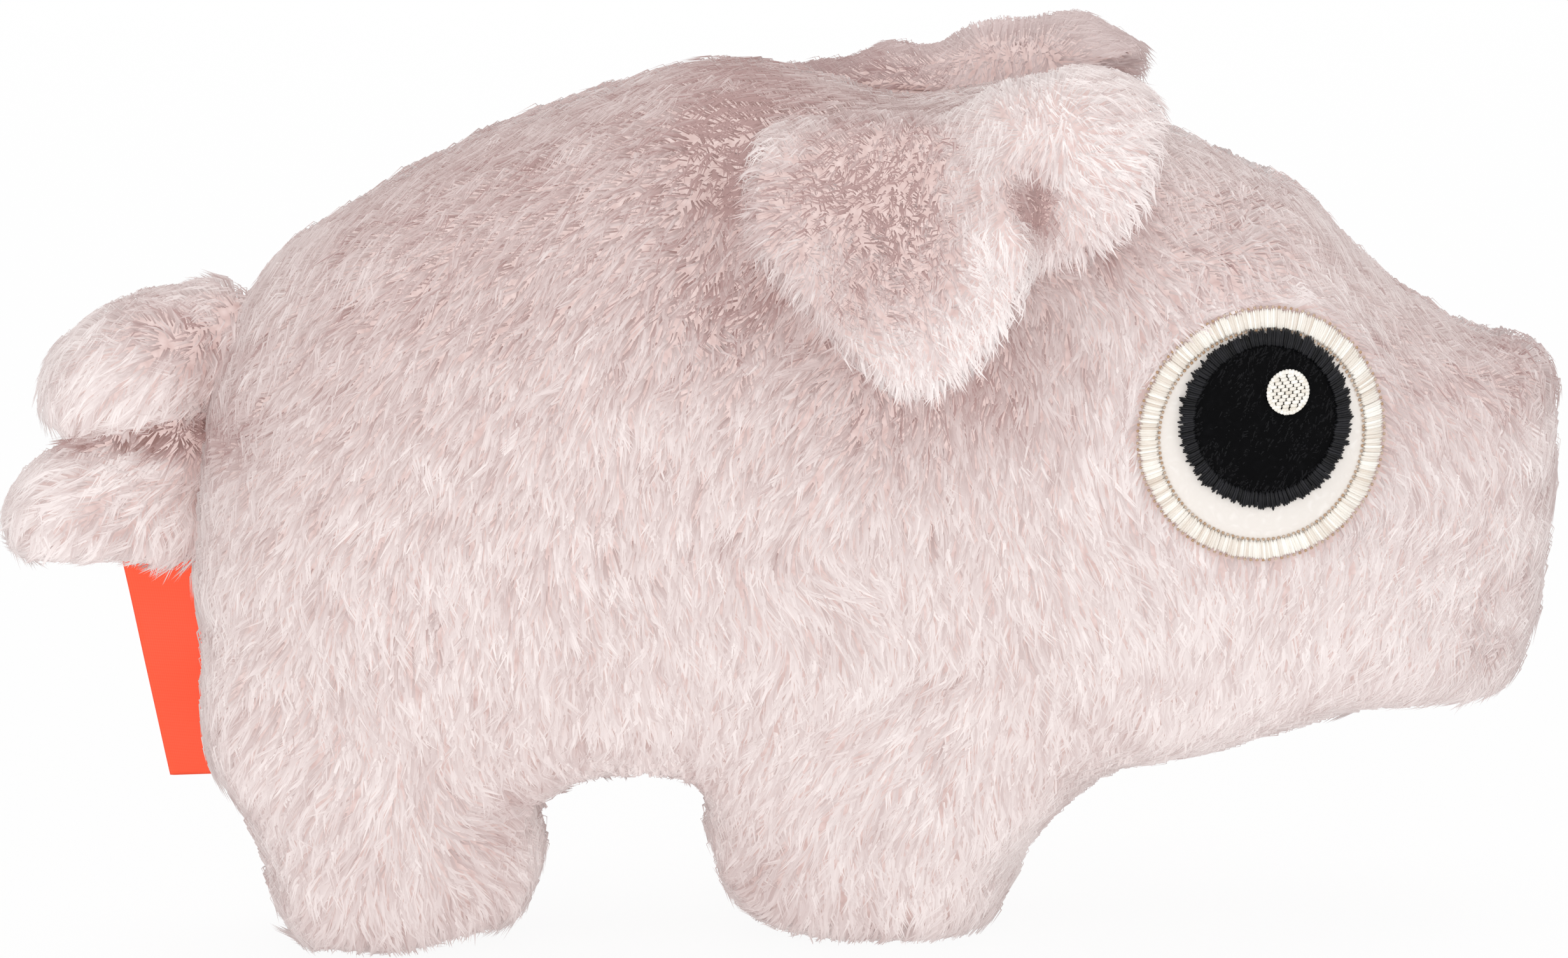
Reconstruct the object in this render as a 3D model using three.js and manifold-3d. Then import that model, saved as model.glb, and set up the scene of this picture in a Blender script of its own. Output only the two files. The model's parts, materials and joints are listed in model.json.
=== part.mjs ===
// A plush pig: two mirrored side panels of pile fabric sewn round the silhouette and filled with fibre,
// two floppy ears, a curled tail, an embroidered eye on each side and a ribbon tag in the rump seam.
// Millimetres. +X is the snout, +Y the far side, +Z up; the soles rest on the plane Z = 0.
import * as THREE from 'three';
import Module from 'manifold-3d';
import { mergeVertices } from 'three/addons/utils/BufferGeometryUtils.js';

const wasm = await Module();
wasm.setup();

// Body sizes
const bodyLength = 181; // rump seam to snout seam
const bodyHeight = 117.5; // sole to the top of the back
const trunkHalfWidth = 31;
const headHalfWidth = 30;
const snoutHalfWidth = 20.5; // what the head's half width narrows to at the snout
const hindLegHalfWidth = 21.5;
const frontLegHalfWidth = 21.5;
const skinThickness = 2.4; // backing and the pile that stands on it
const soleDepth = 0.5; // how deep the feet are pressed flat
const clearance = 0.3; // between neighbouring pieces

// Ear sizes
const earWidth = 57;
const earReach = 24; // from its seam out to the side
const earDrop = 40; // from its seam down to the tip
const earPanelThickness = 3.3; // one of the two panels, pile included
const earEdgeThickness = 0.9; // the same panel at its rim
const earCup = 2.6; // how far the rims curl out from the head
const earValley = 3.4; // depth of the fold between the two lobes
const earValleyWidth = 5.5;
const earFrontDroop = 5; // how far its front edge hangs below its crest
const earSeamOutShare = 0.4; // of the trunk's half width
const earSeamUpShare = 0.948; // of the body's height

// Tail sizes
const tailLength = 31;
const tailHeight = 37;
const tailRootHalfWidth = 10;
const tailTipHalfWidth = 10.5;
const tailSwing = 20; // degrees to each side

// Eye sizes
const eyeDiameter = 32;
const whiteOverlap = 0.7; // the white felt ends this far inside the outer edge of its border
const borderStitchWidth = 2.5;
const pupilDiameter = 22.6;
const pupilStitchWidth = 2.1;
const pupilOverlap = 0.7;
const highlightDiameter = 5.9;
const feltThickness = 0.8;
const pileDiscThickness = 0.9;
const stitchHeight = 0.7;
const stitchCrown = 0.35; // how much a border swells over its middle
const pupilForward = 0.9; // the pupil's middle from the eye's middle
const pupilRise = 1.8;
const highlightForward = 3.7; // the highlight's middle from the eye's middle
const highlightRise = 5.5;

// Tag sizes
const tagWidth = 28; // along the rump seam
const ribbonThickness = 0.45;
const tagFoldRadius = 0.75; // half the thickness of the folded ribbon
const tagTopReach = 9; // how far it stands out at its upper end
const tagLowReach = 5.9;
const tagSewnDepth = 6; // how far its ends run in towards the seam before they are trimmed
const tagSeamLean = 2.1; // how far forward the seam comes from its upper to its lower end
const tagSwing = 60; // degrees to each side

// Shares of the body's length from the rump, and of its height from the sole
const datumShare = 0.422; // the datum that places are measured from, above the front of the belly
const trunkCentreShare = [0.345, 0.562];
const trunkOutlineShares = [
  [0, 0.462], [0.005, 0.342], [0.029, 0.231], [0.09, 0.176], [0.179, 0.172], [0.267, 0.185],
  [0.356, 0.187], [0.455, 0.18], [0.555, 0.205], [0.632, 0.29], [0.676, 0.427], [0.69, 0.58],
  [0.671, 0.734], [0.621, 0.853], [0.544, 0.94], [0.461, 0.981], [0.394, 1], [0.311, 0.987],
  [0.234, 0.945], [0.145, 0.876], [0.079, 0.811], [0.035, 0.733], [0.008, 0.6],
];
const headCentreShare = [0.732, 0.53];
const headOutlineShares = [
  [1, 0.564], [0.997, 0.62], [0.972, 0.656], [0.92, 0.682], [0.864, 0.739], [0.82, 0.815],
  [0.754, 0.882], [0.676, 0.933], [0.588, 0.96], [0.499, 0.923], [0.444, 0.812], [0.422, 0.65],
  [0.428, 0.47], [0.466, 0.308], [0.544, 0.194], [0.632, 0.163], [0.71, 0.187], [0.787, 0.218],
  [0.876, 0.236], [0.945, 0.247], [0.973, 0.289], [0.987, 0.378], [0.998, 0.488],
];
const hindLegCentreShare = [0.145, 0.235];
const hindLegOutlineShares = [
  [0.006, 0.344], [0.011, 0.241], [0.029, 0.147], [0.049, 0.071], [0.068, 0.016], [0.101, 0],
  [0.157, 0], [0.206, 0.012], [0.239, 0.045], [0.249, 0.097], [0.251, 0.156], [0.264, 0.204],
  [0.284, 0.293], [0.256, 0.394], [0.173, 0.463], [0.079, 0.454],
];
const frontLegCentreShare = [0.488, 0.218];
const frontLegOutlineShares = [
  [0.369, 0.208], [0.372, 0.131], [0.378, 0.071], [0.4, 0.02], [0.439, 0], [0.494, 0],
  [0.544, 0], [0.58, 0.029], [0.599, 0.08], [0.624, 0.131], [0.66, 0.174], [0.676, 0.258],
  [0.632, 0.377], [0.533, 0.445], [0.433, 0.411], [0.378, 0.31],
];
const eyeCentreShare = [0.771, 0.598];
const earRearShare = 0.402;

const tailHingeShare = [0.021, 0.69]; // on the rump seam
const tagSeamShare = [0.002, 0.436]; // the tag's upper end in the rump seam

// Shares of the tail's length from its free end, and of its height from its lowest point
const tailFreeEndShare = -0.138; // of the body's length
const tailLowShare = 0.445; // of the body's height
const tailRootCentreShare = [0.58, 0.72];
const tailRootOutlineShares = [
  [1.06, 0.93], [0.84, 0.99], [0.6, 1], [0.37, 0.92], [0.2, 0.74], [0.16, 0.56],
  [0.27, 0.47], [0.5, 0.46], [0.78, 0.465], [0.93, 0.56], [1.03, 0.75],
];
const tailTipCentreShare = [0.4, 0.24];
const tailTipOutlineShares = [
  [0.29, 0.45], [0.11, 0.36], [0, 0.23], [0.01, 0.09], [0.09, 0.02], [0.3, 0],
  [0.56, 0], [0.76, 0.05], [0.815, 0.22], [0.78, 0.42], [0.54, 0.46],
];

// Shares of the ear's width from its rear edge, and of the way from its seam to its tip
const earCentreShare = [0.42, 0.5];
const earOutlineShares = [
  [0.004, 0.53], [0.07, 0.3], [0.2, 0.12], [0.38, 0.02], [0.6, 0], [0.79, 0.06],
  [0.92, 0.24], [0.99, 0.46], [0.93, 0.66], [0.79, 0.76], [0.68, 0.8], [0.655, 0.88],
  [0.55, 0.98], [0.38, 1], [0.22, 0.9], [0.08, 0.69],
];
// Two sections of the ear, each from its seam to its tip, as shares of its reach and of its drop
const rearSectionShares = [
  [0.04, 0], [0.29, 0.02], [0.54, 0.11], [0.73, 0.35], [0.82, 0.6], [0.85, 0.86],
];
const frontSectionShares = [
  [-0.02, 0.02], [0.17, -0.06], [0.44, -0.06], [0.65, 0.1], [0.69, 0.37], [0.73, 0.75],
];
const rearSectionShare = 0.325;
const frontSectionShare = 0.763;
const valleyCentreShare = [0.65, 0.69];
const valleyLengthShare = 0.13;
const cupStartShare = 0.4;
const normalStepShare = 0.018; // how far apart the places lie that its slope is measured on

// How round a form is from its seam to the middle of its side: 2 is an ellipse, more is plumper
const bodyFullness = 2.4;
const legFullness = 3;
const tailFullness = 2.2;
const earFullness = 4;

// How finely the forms are divided
const bodyRings = 5;
const fillRings = 4;
const tailRings = 4;
const earRings = 4;
const eyeRings = 3;
const eyeSides = 28;
const highlightSides = 16;
const tagFoldSteps = 6;
const traceSteps = 12;

const materials = {
  pile: { color: '#e3d3d0', roughness: 0.95, metalness: 0 },
  shadedPile: { color: '#d6bfbc', roughness: 0.95, metalness: 0 },
  earPile: { color: '#ddc7c4', roughness: 0.95, metalness: 0 },
  fibre: { color: '#f4f2ee', roughness: 1, metalness: 0 },
  felt: { color: '#f2ebe4', roughness: 0.9, metalness: 0 },
  creamThread: { color: '#fff6e2', roughness: 0.45, metalness: 0 },
  blackPile: { color: '#111113', roughness: 0.9, metalness: 0 },
  blackThread: { color: '#19191c', roughness: 0.4, metalness: 0 },
  whiteThread: { color: '#fbf8f2', roughness: 0.45, metalness: 0 },
  ribbon: { color: '#fd5439', roughness: 0.55, metalness: 0 },
};

const pig = new THREE.Group();

function addPiece(name, geometry, material) {
  const mesh = new THREE.Mesh(geometry, new THREE.MeshStandardMaterial(material));
  mesh.name = name;
  pig.add(mesh);
  return mesh;
}

// A place in the middle plane, from shares of the body's length and height
function bodyPlace([along, up]) {
  return new THREE.Vector3((along - datumShare) * bodyLength, 0, up * bodyHeight);
}

// A place in the middle plane, from shares of the tail's length and height
function tailPlace([along, up]) {
  const start = bodyPlace([tailFreeEndShare, tailLowShare]);
  return new THREE.Vector3(start.x + along * tailLength, 0, start.z + up * tailHeight);
}

function closedCurve(points) {
  return new THREE.CatmullRomCurve3(points, true);
}

function ringPoints(curve, count) {
  return curve.getPoints(count).slice(0, count);
}

// A closed solid from rings of equally many points, from one pole to the other
function solidBetweenPoles(firstPole, rings, lastPole) {
  const sides = rings[0].length;
  const points = [firstPole, ...rings.flat(), lastPole];
  const last = points.length - 1;
  const index = [];
  for (let i = 0; i < sides; i++) {
    const j = (i + 1) % sides;
    index.push(0, 1 + i, 1 + j);
    for (let r = 0; r < rings.length - 1; r++) {
      const near = 1 + r * sides;
      const far = near + sides;
      index.push(near + i, far + i, far + j, near + i, far + j, near + j);
    }
    const end = 1 + (rings.length - 1) * sides;
    index.push(end + i, last, end + j);
  }
  return outwardGeometry(points, index);
}

// A closed ring-shaped solid: each loop goes once round the ring, and the last loop meets the first
function solidRing(loops) {
  const sides = loops[0].length;
  const index = [];
  loops.forEach((_, r) => {
    const near = r * sides;
    const far = ((r + 1) % loops.length) * sides;
    for (let i = 0; i < sides; i++) {
      const j = (i + 1) % sides;
      index.push(near + i, far + i, far + j, near + i, far + j, near + j);
    }
  });
  return outwardGeometry(loops.flat(), index);
}

// Turns the triangles over if they enclose a negative volume
function outwardGeometry(points, index) {
  let volume = 0;
  for (let i = 0; i < index.length; i += 3) {
    const [a, b, c] = [points[index[i]], points[index[i + 1]], points[index[i + 2]]];
    volume += new THREE.Vector3().crossVectors(b, c).dot(a);
  }
  if (volume < 0) index.reverse();
  const geometry = new THREE.BufferGeometry().setFromPoints(points);
  geometry.setIndex(index);
  return geometry;
}

function toSolid(geometry) {
  const bare = geometry.clone();
  bare.deleteAttribute('normal');
  bare.deleteAttribute('uv');
  const merged = mergeVertices(bare);
  return new wasm.Manifold(new wasm.Mesh({
    numProp: 3,
    vertProperties: new Float32Array(merged.attributes.position.array),
    triVerts: new Uint32Array(merged.index.array),
  }));
}

function toGeometry(solid) {
  const mesh = solid.getMesh();
  const geometry = new THREE.BufferGeometry();
  const places = new Float32Array(mesh.vertProperties);
  geometry.setAttribute('position', new THREE.BufferAttribute(places, mesh.numProp));
  geometry.setIndex(new THREE.BufferAttribute(new Uint32Array(mesh.triVerts), 1));
  return geometry;
}

function mirrored(geometry) {
  const twin = geometry.clone();
  twin.scale(1, -1, 1);
  twin.setIndex(Array.from(geometry.index.array).reverse());
  return twin;
}

// Stuffed forms
// A form is a silhouette in the middle plane that swells to both sides of it.
const trunk = {
  centre: bodyPlace(trunkCentreShare),
  outline: closedCurve(trunkOutlineShares.map(bodyPlace)),
  pointCount: trunkOutlineShares.length,
  halfWidth: trunkHalfWidth,
  fullness: bodyFullness,
};
const head = {
  centre: bodyPlace(headCentreShare),
  outline: closedCurve(headOutlineShares.map(bodyPlace)),
  pointCount: headOutlineShares.length,
  halfWidth: headHalfWidth,
  endHalfWidth: snoutHalfWidth,
  reach: bodyPlace([1, 0]).x - bodyPlace(headCentreShare).x,
  fullness: bodyFullness,
};
const hindLeg = {
  centre: bodyPlace(hindLegCentreShare),
  outline: closedCurve(hindLegOutlineShares.map(bodyPlace)),
  pointCount: hindLegOutlineShares.length,
  halfWidth: hindLegHalfWidth,
  fullness: legFullness,
};
const frontLeg = {
  centre: bodyPlace(frontLegCentreShare),
  outline: closedCurve(frontLegOutlineShares.map(bodyPlace)),
  pointCount: frontLegOutlineShares.length,
  halfWidth: frontLegHalfWidth,
  fullness: legFullness,
};
const tailRoot = {
  centre: tailPlace(tailRootCentreShare),
  outline: closedCurve(tailRootOutlineShares.map(tailPlace)),
  pointCount: tailRootOutlineShares.length,
  halfWidth: tailRootHalfWidth,
  fullness: tailFullness,
};
const tailTip = {
  centre: tailPlace(tailTipCentreShare),
  outline: closedCurve(tailTipOutlineShares.map(tailPlace)),
  pointCount: tailTipOutlineShares.length,
  halfWidth: tailTipHalfWidth,
  fullness: tailFullness,
};

// Half the width that the form swells to over the place x; a head narrows towards its snout
function widthAt(form, x) {
  if (!form.endHalfWidth) return form.halfWidth;
  const way = THREE.MathUtils.smoothstep(x, form.centre.x, form.centre.x + form.reach);
  return THREE.MathUtils.lerp(form.halfWidth, form.endHalfWidth, way);
}

// The form's closed surface, moved in by inset, or out where inset is negative
function formSurface(form, inset, ringCount, sides) {
  const rim = ringPoints(form.outline, sides);
  const swell = (side, turn) => {
    const across = Math.cos(turn) ** (2 / form.fullness);
    const out = Math.sin(turn) ** (2 / form.fullness) * side;
    return rim.map((point) => {
      const place = point.clone().sub(form.centre);
      place.setLength(Math.max(place.length() - inset, clearance) * across).add(form.centre);
      return place.setY(out * (widthAt(form, place.x) - inset));
    });
  };
  const quarter = Math.PI / 2;
  const turns = Array.from({ length: ringCount - 1 }, (_, k) => quarter * (1 - (k + 1) / ringCount));
  const nearRings = turns.map((turn) => swell(-1, turn));
  const farRings = turns.map((turn) => swell(1, turn)).reverse();
  const pole = (side) => form.centre.clone().setY((form.halfWidth - inset) * side);
  return solidBetweenPoles(pole(-1), [...nearRings, swell(1, 0), ...farRings], pole(1));
}

function formSolid(form, inset, ringCount, sides) {
  return toSolid(formSurface(form, inset, ringCount, sides));
}

// How far the form's surface stands out from the middle plane over the place x, z
function sideDepth(form, x, z) {
  const spoke = new THREE.Vector3(x, 0, z).sub(form.centre);
  const reach = spoke.length();
  if (reach === 0) return form.halfWidth;
  const rim = ringPoints(form.outline, form.pointCount * traceSteps);
  const nearest = rim.reduce((best, point) => {
    const angle = point.clone().sub(form.centre).angleTo(spoke);
    return angle < best.angle ? { angle, radius: point.distanceTo(form.centre) } : best;
  }, { angle: Math.PI, radius: reach });
  const share = Math.min(reach / nearest.radius, 1);
  return widthAt(form, x) * (1 - share ** form.fullness) ** (1 / form.fullness);
}

const outlineSides = 2; // sides of a ring for each point of its outline
const outer = (form) => formSolid(form, 0, bodyRings, form.pointCount * outlineSides);
const grown = (form) => formSolid(form, -clearance, bodyRings, form.pointCount * outlineSides);
const hollow = (form) => formSolid(form, skinThickness, fillRings, form.pointCount);
const filling = (form) => formSolid(form, skinThickness + clearance, fillRings, form.pointCount);

const bodyForms = [trunk, head, hindLeg, frontLeg];
const joined = (solids) => solids.reduce((whole, solid) => whole.add(solid));
const bodyHollow = joined(bodyForms.map(hollow));

// The feet are pressed flat where the toy stands on them
function pressedFlat(solid) {
  const block = new THREE.BoxGeometry(bodyLength * 2, bodyLength * 2, bodyHeight);
  block.translate(0, 0, soleDepth - bodyHeight / 2);
  return solid.subtract(toSolid(block));
}

// Each skin is a shell that opens into its neighbours and is trimmed by the larger ones
const trunkSkin = outer(trunk).subtract(bodyHollow);
const headSkin = outer(head).subtract(grown(trunk)).subtract(bodyHollow);
const hindLegSkin = pressedFlat(outer(hindLeg).subtract(grown(trunk)).subtract(bodyHollow));
const frontLegSkin = pressedFlat(
  outer(frontLeg).subtract(grown(trunk)).subtract(grown(head)).subtract(bodyHollow),
);

addPiece('trunk_skin', toGeometry(trunkSkin), materials.pile);
addPiece('head_skin', toGeometry(headSkin), materials.pile);
addPiece('hind_leg_skin', toGeometry(hindLegSkin), materials.pile);
addPiece('front_leg_skin', toGeometry(frontLegSkin), materials.pile);
addPiece('fibre_filling', toGeometry(joined(bodyForms.map(filling))), materials.fibre);

// Trims a piece by the forms beside it, where they stand and where they come to as the piece swings
function trimmedForSwing(solid, forms, hinge, swing) {
  const turns = [-swing, 0, swing].map((degrees) => THREE.MathUtils.degToRad(degrees));
  return forms.reduce((trimmed, form) => turns.reduce((part, turn) => {
    const surface = formSurface(form, -clearance, bodyRings, form.pointCount * outlineSides);
    surface.translate(...hinge.place.clone().negate().toArray());
    surface.applyMatrix4(new THREE.Matrix4().makeRotationAxis(hinge.axis, turn));
    surface.translate(...hinge.place.toArray());
    return part.subtract(toSolid(surface));
  }, trimmed), solid);
}

// Tail: one stuffed tube, curled once; its root turn lies over its tip turn
const tailForm = (form, inset) => formSolid(form, inset, tailRings, form.pointCount * outlineSides);
const tailHinge = { place: bodyPlace(tailHingeShare), axis: new THREE.Vector3(0, 0, 1) };
const tailRootSolid = tailForm(tailRoot, 0);
const tailTipSolid = tailForm(tailTip, 0).subtract(tailForm(tailRoot, -clearance));
for (const [name, solid] of [['tail_root_curl', tailRootSolid], ['tail_tip_curl', tailTipSolid]]) {
  addPiece(name, toGeometry(trimmedForSwing(solid, [trunk], tailHinge, tailSwing)), materials.shadedPile);
}

// Ears
// A section of the near ear's middle surface, from its seam to its tip
const earSeam = { out: earSeamOutShare * trunkHalfWidth, up: earSeamUpShare * bodyHeight };

function earSection(shares) {
  return new THREE.CatmullRomCurve3(shares.map(([out, down]) => new THREE.Vector3(
    0, -(earSeam.out + out * earReach), earSeam.up - down * earDrop,
  )));
}
const rearSection = earSection(rearSectionShares);
const frontSection = earSection(frontSectionShares);

function earSurface(along, down) {
  const blend = THREE.MathUtils.smoothstep(along, rearSectionShare, frontSectionShare);
  const way = THREE.MathUtils.clamp(down, 0, 1);
  const place = rearSection.getPoint(way).lerp(frontSection.getPoint(way), blend);
  place.x = bodyPlace([earRearShare, 0]).x + along * earWidth;
  place.z -= earFrontDroop * THREE.MathUtils.smoothstep(along, frontSectionShare, 1);
  return place;
}

function earNormal(along, down) {
  const forward = earSurface(along + normalStepShare, down).sub(earSurface(along - normalStepShare, down));
  const low = Math.max(down - normalStepShare, 0);
  const high = Math.min(down + normalStepShare, 1);
  const downward = earSurface(along, high).sub(earSurface(along, low));
  return downward.cross(forward).normalize();
}

// A point of the ear, off its middle surface by the offset, at a share of the way to its rim
function earPoint([along, down], rimShare, offset) {
  const cup = earCup * rimShare ** 3 * THREE.MathUtils.smoothstep(down, 0, cupStartShare);
  const acrossValley = ((along - valleyCentreShare[0]) * earWidth) / earValleyWidth;
  const alongValley = (down - valleyCentreShare[1]) / valleyLengthShare;
  const valley = earValley * Math.exp(-(acrossValley ** 2) - alongValley ** 2);
  return earSurface(along, down).addScaledVector(earNormal(along, down), cup - valley + offset);
}

// One panel of the near ear; side is 1 for the panel that faces out and -1 for the one that faces the head
function earPanel(side) {
  const rim = ringPoints(
    closedCurve(earOutlineShares.map(([along, down]) => new THREE.Vector3(along, down, 0))),
    earOutlineShares.length * outlineSides,
  );
  const inner = (side * clearance) / 2;
  const depth = (share) => {
    const swell = (1 - share ** earFullness) ** (1 / 2);
    return side * (earEdgeThickness + (earPanelThickness - earEdgeThickness) * swell);
  };
  const ring = (share, offset) => rim.map((edge) => {
    const place = [0, 1].map((axis) => {
      const from = earCentreShare[axis];
      return from + (edge.getComponent(axis) - from) * share;
    });
    return earPoint(place, share, offset);
  });
  const shares = Array.from({ length: earRings }, (_, k) => Math.sin(((k + 1) / earRings) * (Math.PI / 2)));
  const face = shares.map((share) => ring(share, depth(share)));
  const back = shares.map((share) => ring(share, inner)).reverse();
  const middle = (offset) => earPoint(earCentreShare, 0, offset);
  return solidBetweenPoles(middle(depth(0)), [...face, ...back], middle(inner));
}
const earFacePanel = earPanel(1);
const earBackPanel = earPanel(-1);
addPiece('near_ear_face_panel', earFacePanel, materials.earPile);
addPiece('near_ear_back_panel', earBackPanel, materials.shadedPile);
addPiece('far_ear_face_panel', mirrored(earFacePanel), materials.earPile);
addPiece('far_ear_back_panel', mirrored(earBackPanel), materials.shadedPile);

// Eyes: discs and stitched borders in layers that follow the side of the head
const eyeCentre = bodyPlace(eyeCentreShare);

function onCheek(forward, rise, lift) {
  const x = eyeCentre.x + forward;
  const z = eyeCentre.z + rise;
  return new THREE.Vector3(x, -(sideDepth(head, x, z) + clearance + lift), z);
}

function eyeLoop([forward, rise], radius, lift, sides) {
  return Array.from({ length: sides }, (_, i) => {
    const turn = (i / sides) * Math.PI * 2;
    return onCheek(forward + Math.cos(turn) * radius, rise + Math.sin(turn) * radius, lift);
  });
}

function eyeDisc(middle, radius, lift, thickness, sides) {
  const radii = Array.from({ length: eyeRings }, (_, k) => (radius * (k + 1)) / eyeRings);
  const face = radii.map((r) => eyeLoop(middle, r, lift + thickness, sides));
  const back = radii.map((r) => eyeLoop(middle, r, lift, sides)).reverse();
  const pole = (height) => onCheek(...middle, height);
  return solidBetweenPoles(pole(lift + thickness), [...face, ...back], pole(lift));
}

// A raised border of thread; its outer and inner edges and its crown are loops round the disc
function eyeBorder(middle, radius, width, lift) {
  const section = [
    [radius, lift],
    [radius, lift + stitchHeight],
    [radius - width / 2, lift + stitchHeight + stitchCrown],
    [radius - width, lift + stitchHeight],
    [radius - width, lift],
  ];
  return solidRing(section.map(([r, height]) => eyeLoop(middle, r, height, eyeSides)));
}

const eyeMiddle = [0, 0];
const pupilMiddle = [pupilForward, pupilRise];
const highlightMiddle = [highlightForward, highlightRise];
const onFelt = feltThickness + clearance;
const onPupil = onFelt + pileDiscThickness + clearance;
const feltRadius = eyeDiameter / 2 - whiteOverlap;
const pupilRadius = pupilDiameter / 2 - pupilOverlap;
const highlightRadius = highlightDiameter / 2;
const felt = eyeDisc(eyeMiddle, feltRadius, 0, feltThickness, eyeSides);
const feltBorder = eyeBorder(eyeMiddle, eyeDiameter / 2, borderStitchWidth, onFelt);
const pupil = eyeDisc(pupilMiddle, pupilRadius, onFelt, pileDiscThickness, eyeSides);
const pupilBorder = eyeBorder(pupilMiddle, pupilDiameter / 2, pupilStitchWidth, onPupil);
const highlight = eyeDisc(highlightMiddle, highlightRadius, onPupil, stitchHeight, highlightSides);
const eyePieces = [
  ['white', felt, materials.felt],
  ['white_border', feltBorder, materials.creamThread],
  ['pupil', pupil, materials.blackPile],
  ['pupil_border', pupilBorder, materials.blackThread],
  ['highlight', highlight, materials.whiteThread],
];
for (const [name, geometry, material] of eyePieces) {
  addPiece(`near_eye_${name}`, geometry, material);
  addPiece(`far_eye_${name}`, mirrored(geometry), material);
}

// Tag: a ribbon folded once, with both ends in the rump seam; seen from above it is a narrow U
function ribbonU(reach) {
  const outerBend = new THREE.Vector2(-reach + tagFoldRadius, 0);
  const bend = (radius, from, to) => Array.from({ length: tagFoldSteps + 1 }, (_, k) => {
    const turn = from + ((to - from) * k) / tagFoldSteps;
    return new THREE.Vector2(outerBend.x + Math.cos(turn) * radius, Math.sin(turn) * radius);
  });
  const innerRadius = tagFoldRadius - ribbonThickness;
  return [
    new THREE.Vector2(tagSewnDepth, tagFoldRadius),
    ...bend(tagFoldRadius, Math.PI / 2, (3 * Math.PI) / 2),
    new THREE.Vector2(tagSewnDepth, -tagFoldRadius),
    new THREE.Vector2(tagSewnDepth, -innerRadius),
    ...bend(innerRadius, (3 * Math.PI) / 2, Math.PI / 2),
    new THREE.Vector2(tagSewnDepth, innerRadius),
  ];
}

const tagSeamTop = bodyPlace(tagSeamShare);
const tagSeamLow = tagSeamTop.clone().add(new THREE.Vector3(tagSeamLean, 0, -tagWidth));

function tagSolid() {
  const edge = (seam, reach) => ribbonU(reach).map((p) => new THREE.Vector3(p.x, p.y, 0).add(seam));
  const top = edge(tagSeamTop, tagTopReach);
  const low = edge(tagSeamLow, tagLowReach);
  const faces = THREE.ShapeUtils.triangulateShape(ribbonU(tagTopReach), []);
  const count = top.length;
  const index = faces.flatMap(([a, b, c]) => [a, b, c, count + c, count + b, count + a]);
  for (let i = 0; i < count; i++) {
    const j = (i + 1) % count;
    index.push(j, i, count + i, j, count + i, count + j);
  }
  return toSolid(outwardGeometry([...top, ...low], index));
}
const tagHinge = { place: tagSeamTop, axis: tagSeamLow.clone().sub(tagSeamTop).normalize() };
const tag = trimmedForSwing(tagSolid(), [trunk, hindLeg], tagHinge, tagSwing);
addPiece('ribbon_tag', toGeometry(tag), materials.ribbon);

// Stand the toy on its soles, with its length centred on the origin
const box = new THREE.Box3().setFromObject(pig);
pig.position.set(-(box.min.x + box.max.x) / 2, 0, -box.min.z);
pig.updateMatrixWorld(true);

export default pig;
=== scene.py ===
"""A plush pig in pile fabric: stuffed body, ears, tail, embroidered eyes and a ribbon tag."""

import json
import logging
import math
from dataclasses import dataclass, field, fields
from enum import Enum
from typing import Callable, Iterable

import bmesh
import bpy
import numpy as np
from mathutils import Matrix, Vector
from mathutils.bvhtree import BVHTree
from mathutils.kdtree import KDTree


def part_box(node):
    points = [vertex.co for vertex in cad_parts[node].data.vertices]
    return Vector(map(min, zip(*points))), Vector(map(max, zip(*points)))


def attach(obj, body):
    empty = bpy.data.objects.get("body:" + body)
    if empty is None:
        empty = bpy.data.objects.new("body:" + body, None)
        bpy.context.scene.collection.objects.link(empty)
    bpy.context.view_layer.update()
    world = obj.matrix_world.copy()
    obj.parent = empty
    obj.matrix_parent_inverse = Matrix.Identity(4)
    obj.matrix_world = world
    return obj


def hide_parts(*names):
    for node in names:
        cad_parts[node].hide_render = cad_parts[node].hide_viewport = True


log = logging.getLogger("pig")
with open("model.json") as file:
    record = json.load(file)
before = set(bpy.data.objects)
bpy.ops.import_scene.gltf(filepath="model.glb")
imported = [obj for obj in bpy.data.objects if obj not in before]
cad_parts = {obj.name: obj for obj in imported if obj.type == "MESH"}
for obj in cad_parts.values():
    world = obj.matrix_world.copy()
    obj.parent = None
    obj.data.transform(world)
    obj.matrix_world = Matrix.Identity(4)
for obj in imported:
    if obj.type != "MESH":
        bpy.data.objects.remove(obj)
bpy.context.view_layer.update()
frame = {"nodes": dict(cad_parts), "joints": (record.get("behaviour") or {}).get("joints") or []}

MM = 0.001
FULL_TURN = 2 * math.pi
CHART = "OFBake"  # the name of each piece's map

Pair = tuple[float, float]
Triple = tuple[float, float, float]
Shade = tuple[int, int, int]  # a display colour, 0 to 255


class Side(Enum):
    """The two sides of the toy; the value is the sign of y."""

    NEAR = -1
    FAR = 1


# Colours


def linear(red: int, green: int, blue: int) -> tuple[float, float, float, float]:
    """Turns a display colour, 0 to 255, into the numbers a shader takes.

    Args:
        red: The red share.
        green: The green share.
        blue: The blue share.

    Returns:
        The linear colour with an alpha of 1.
    """
    def channel(value: int) -> float:
        """One of the three shares, without the display's curve."""
        share = value / 255
        return share / 12.92 if share <= 0.04045 else ((share + 0.055) / 1.055) ** 2.4

    return channel(red), channel(green), channel(blue), 1.0


# Meshes


def object_from(name: str, mesh: bpy.types.Mesh) -> bpy.types.Object:
    """Links a new object that shows the mesh at the origin."""
    piece = bpy.data.objects.new(name, mesh)
    bpy.context.scene.collection.objects.link(piece)
    return piece


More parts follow.
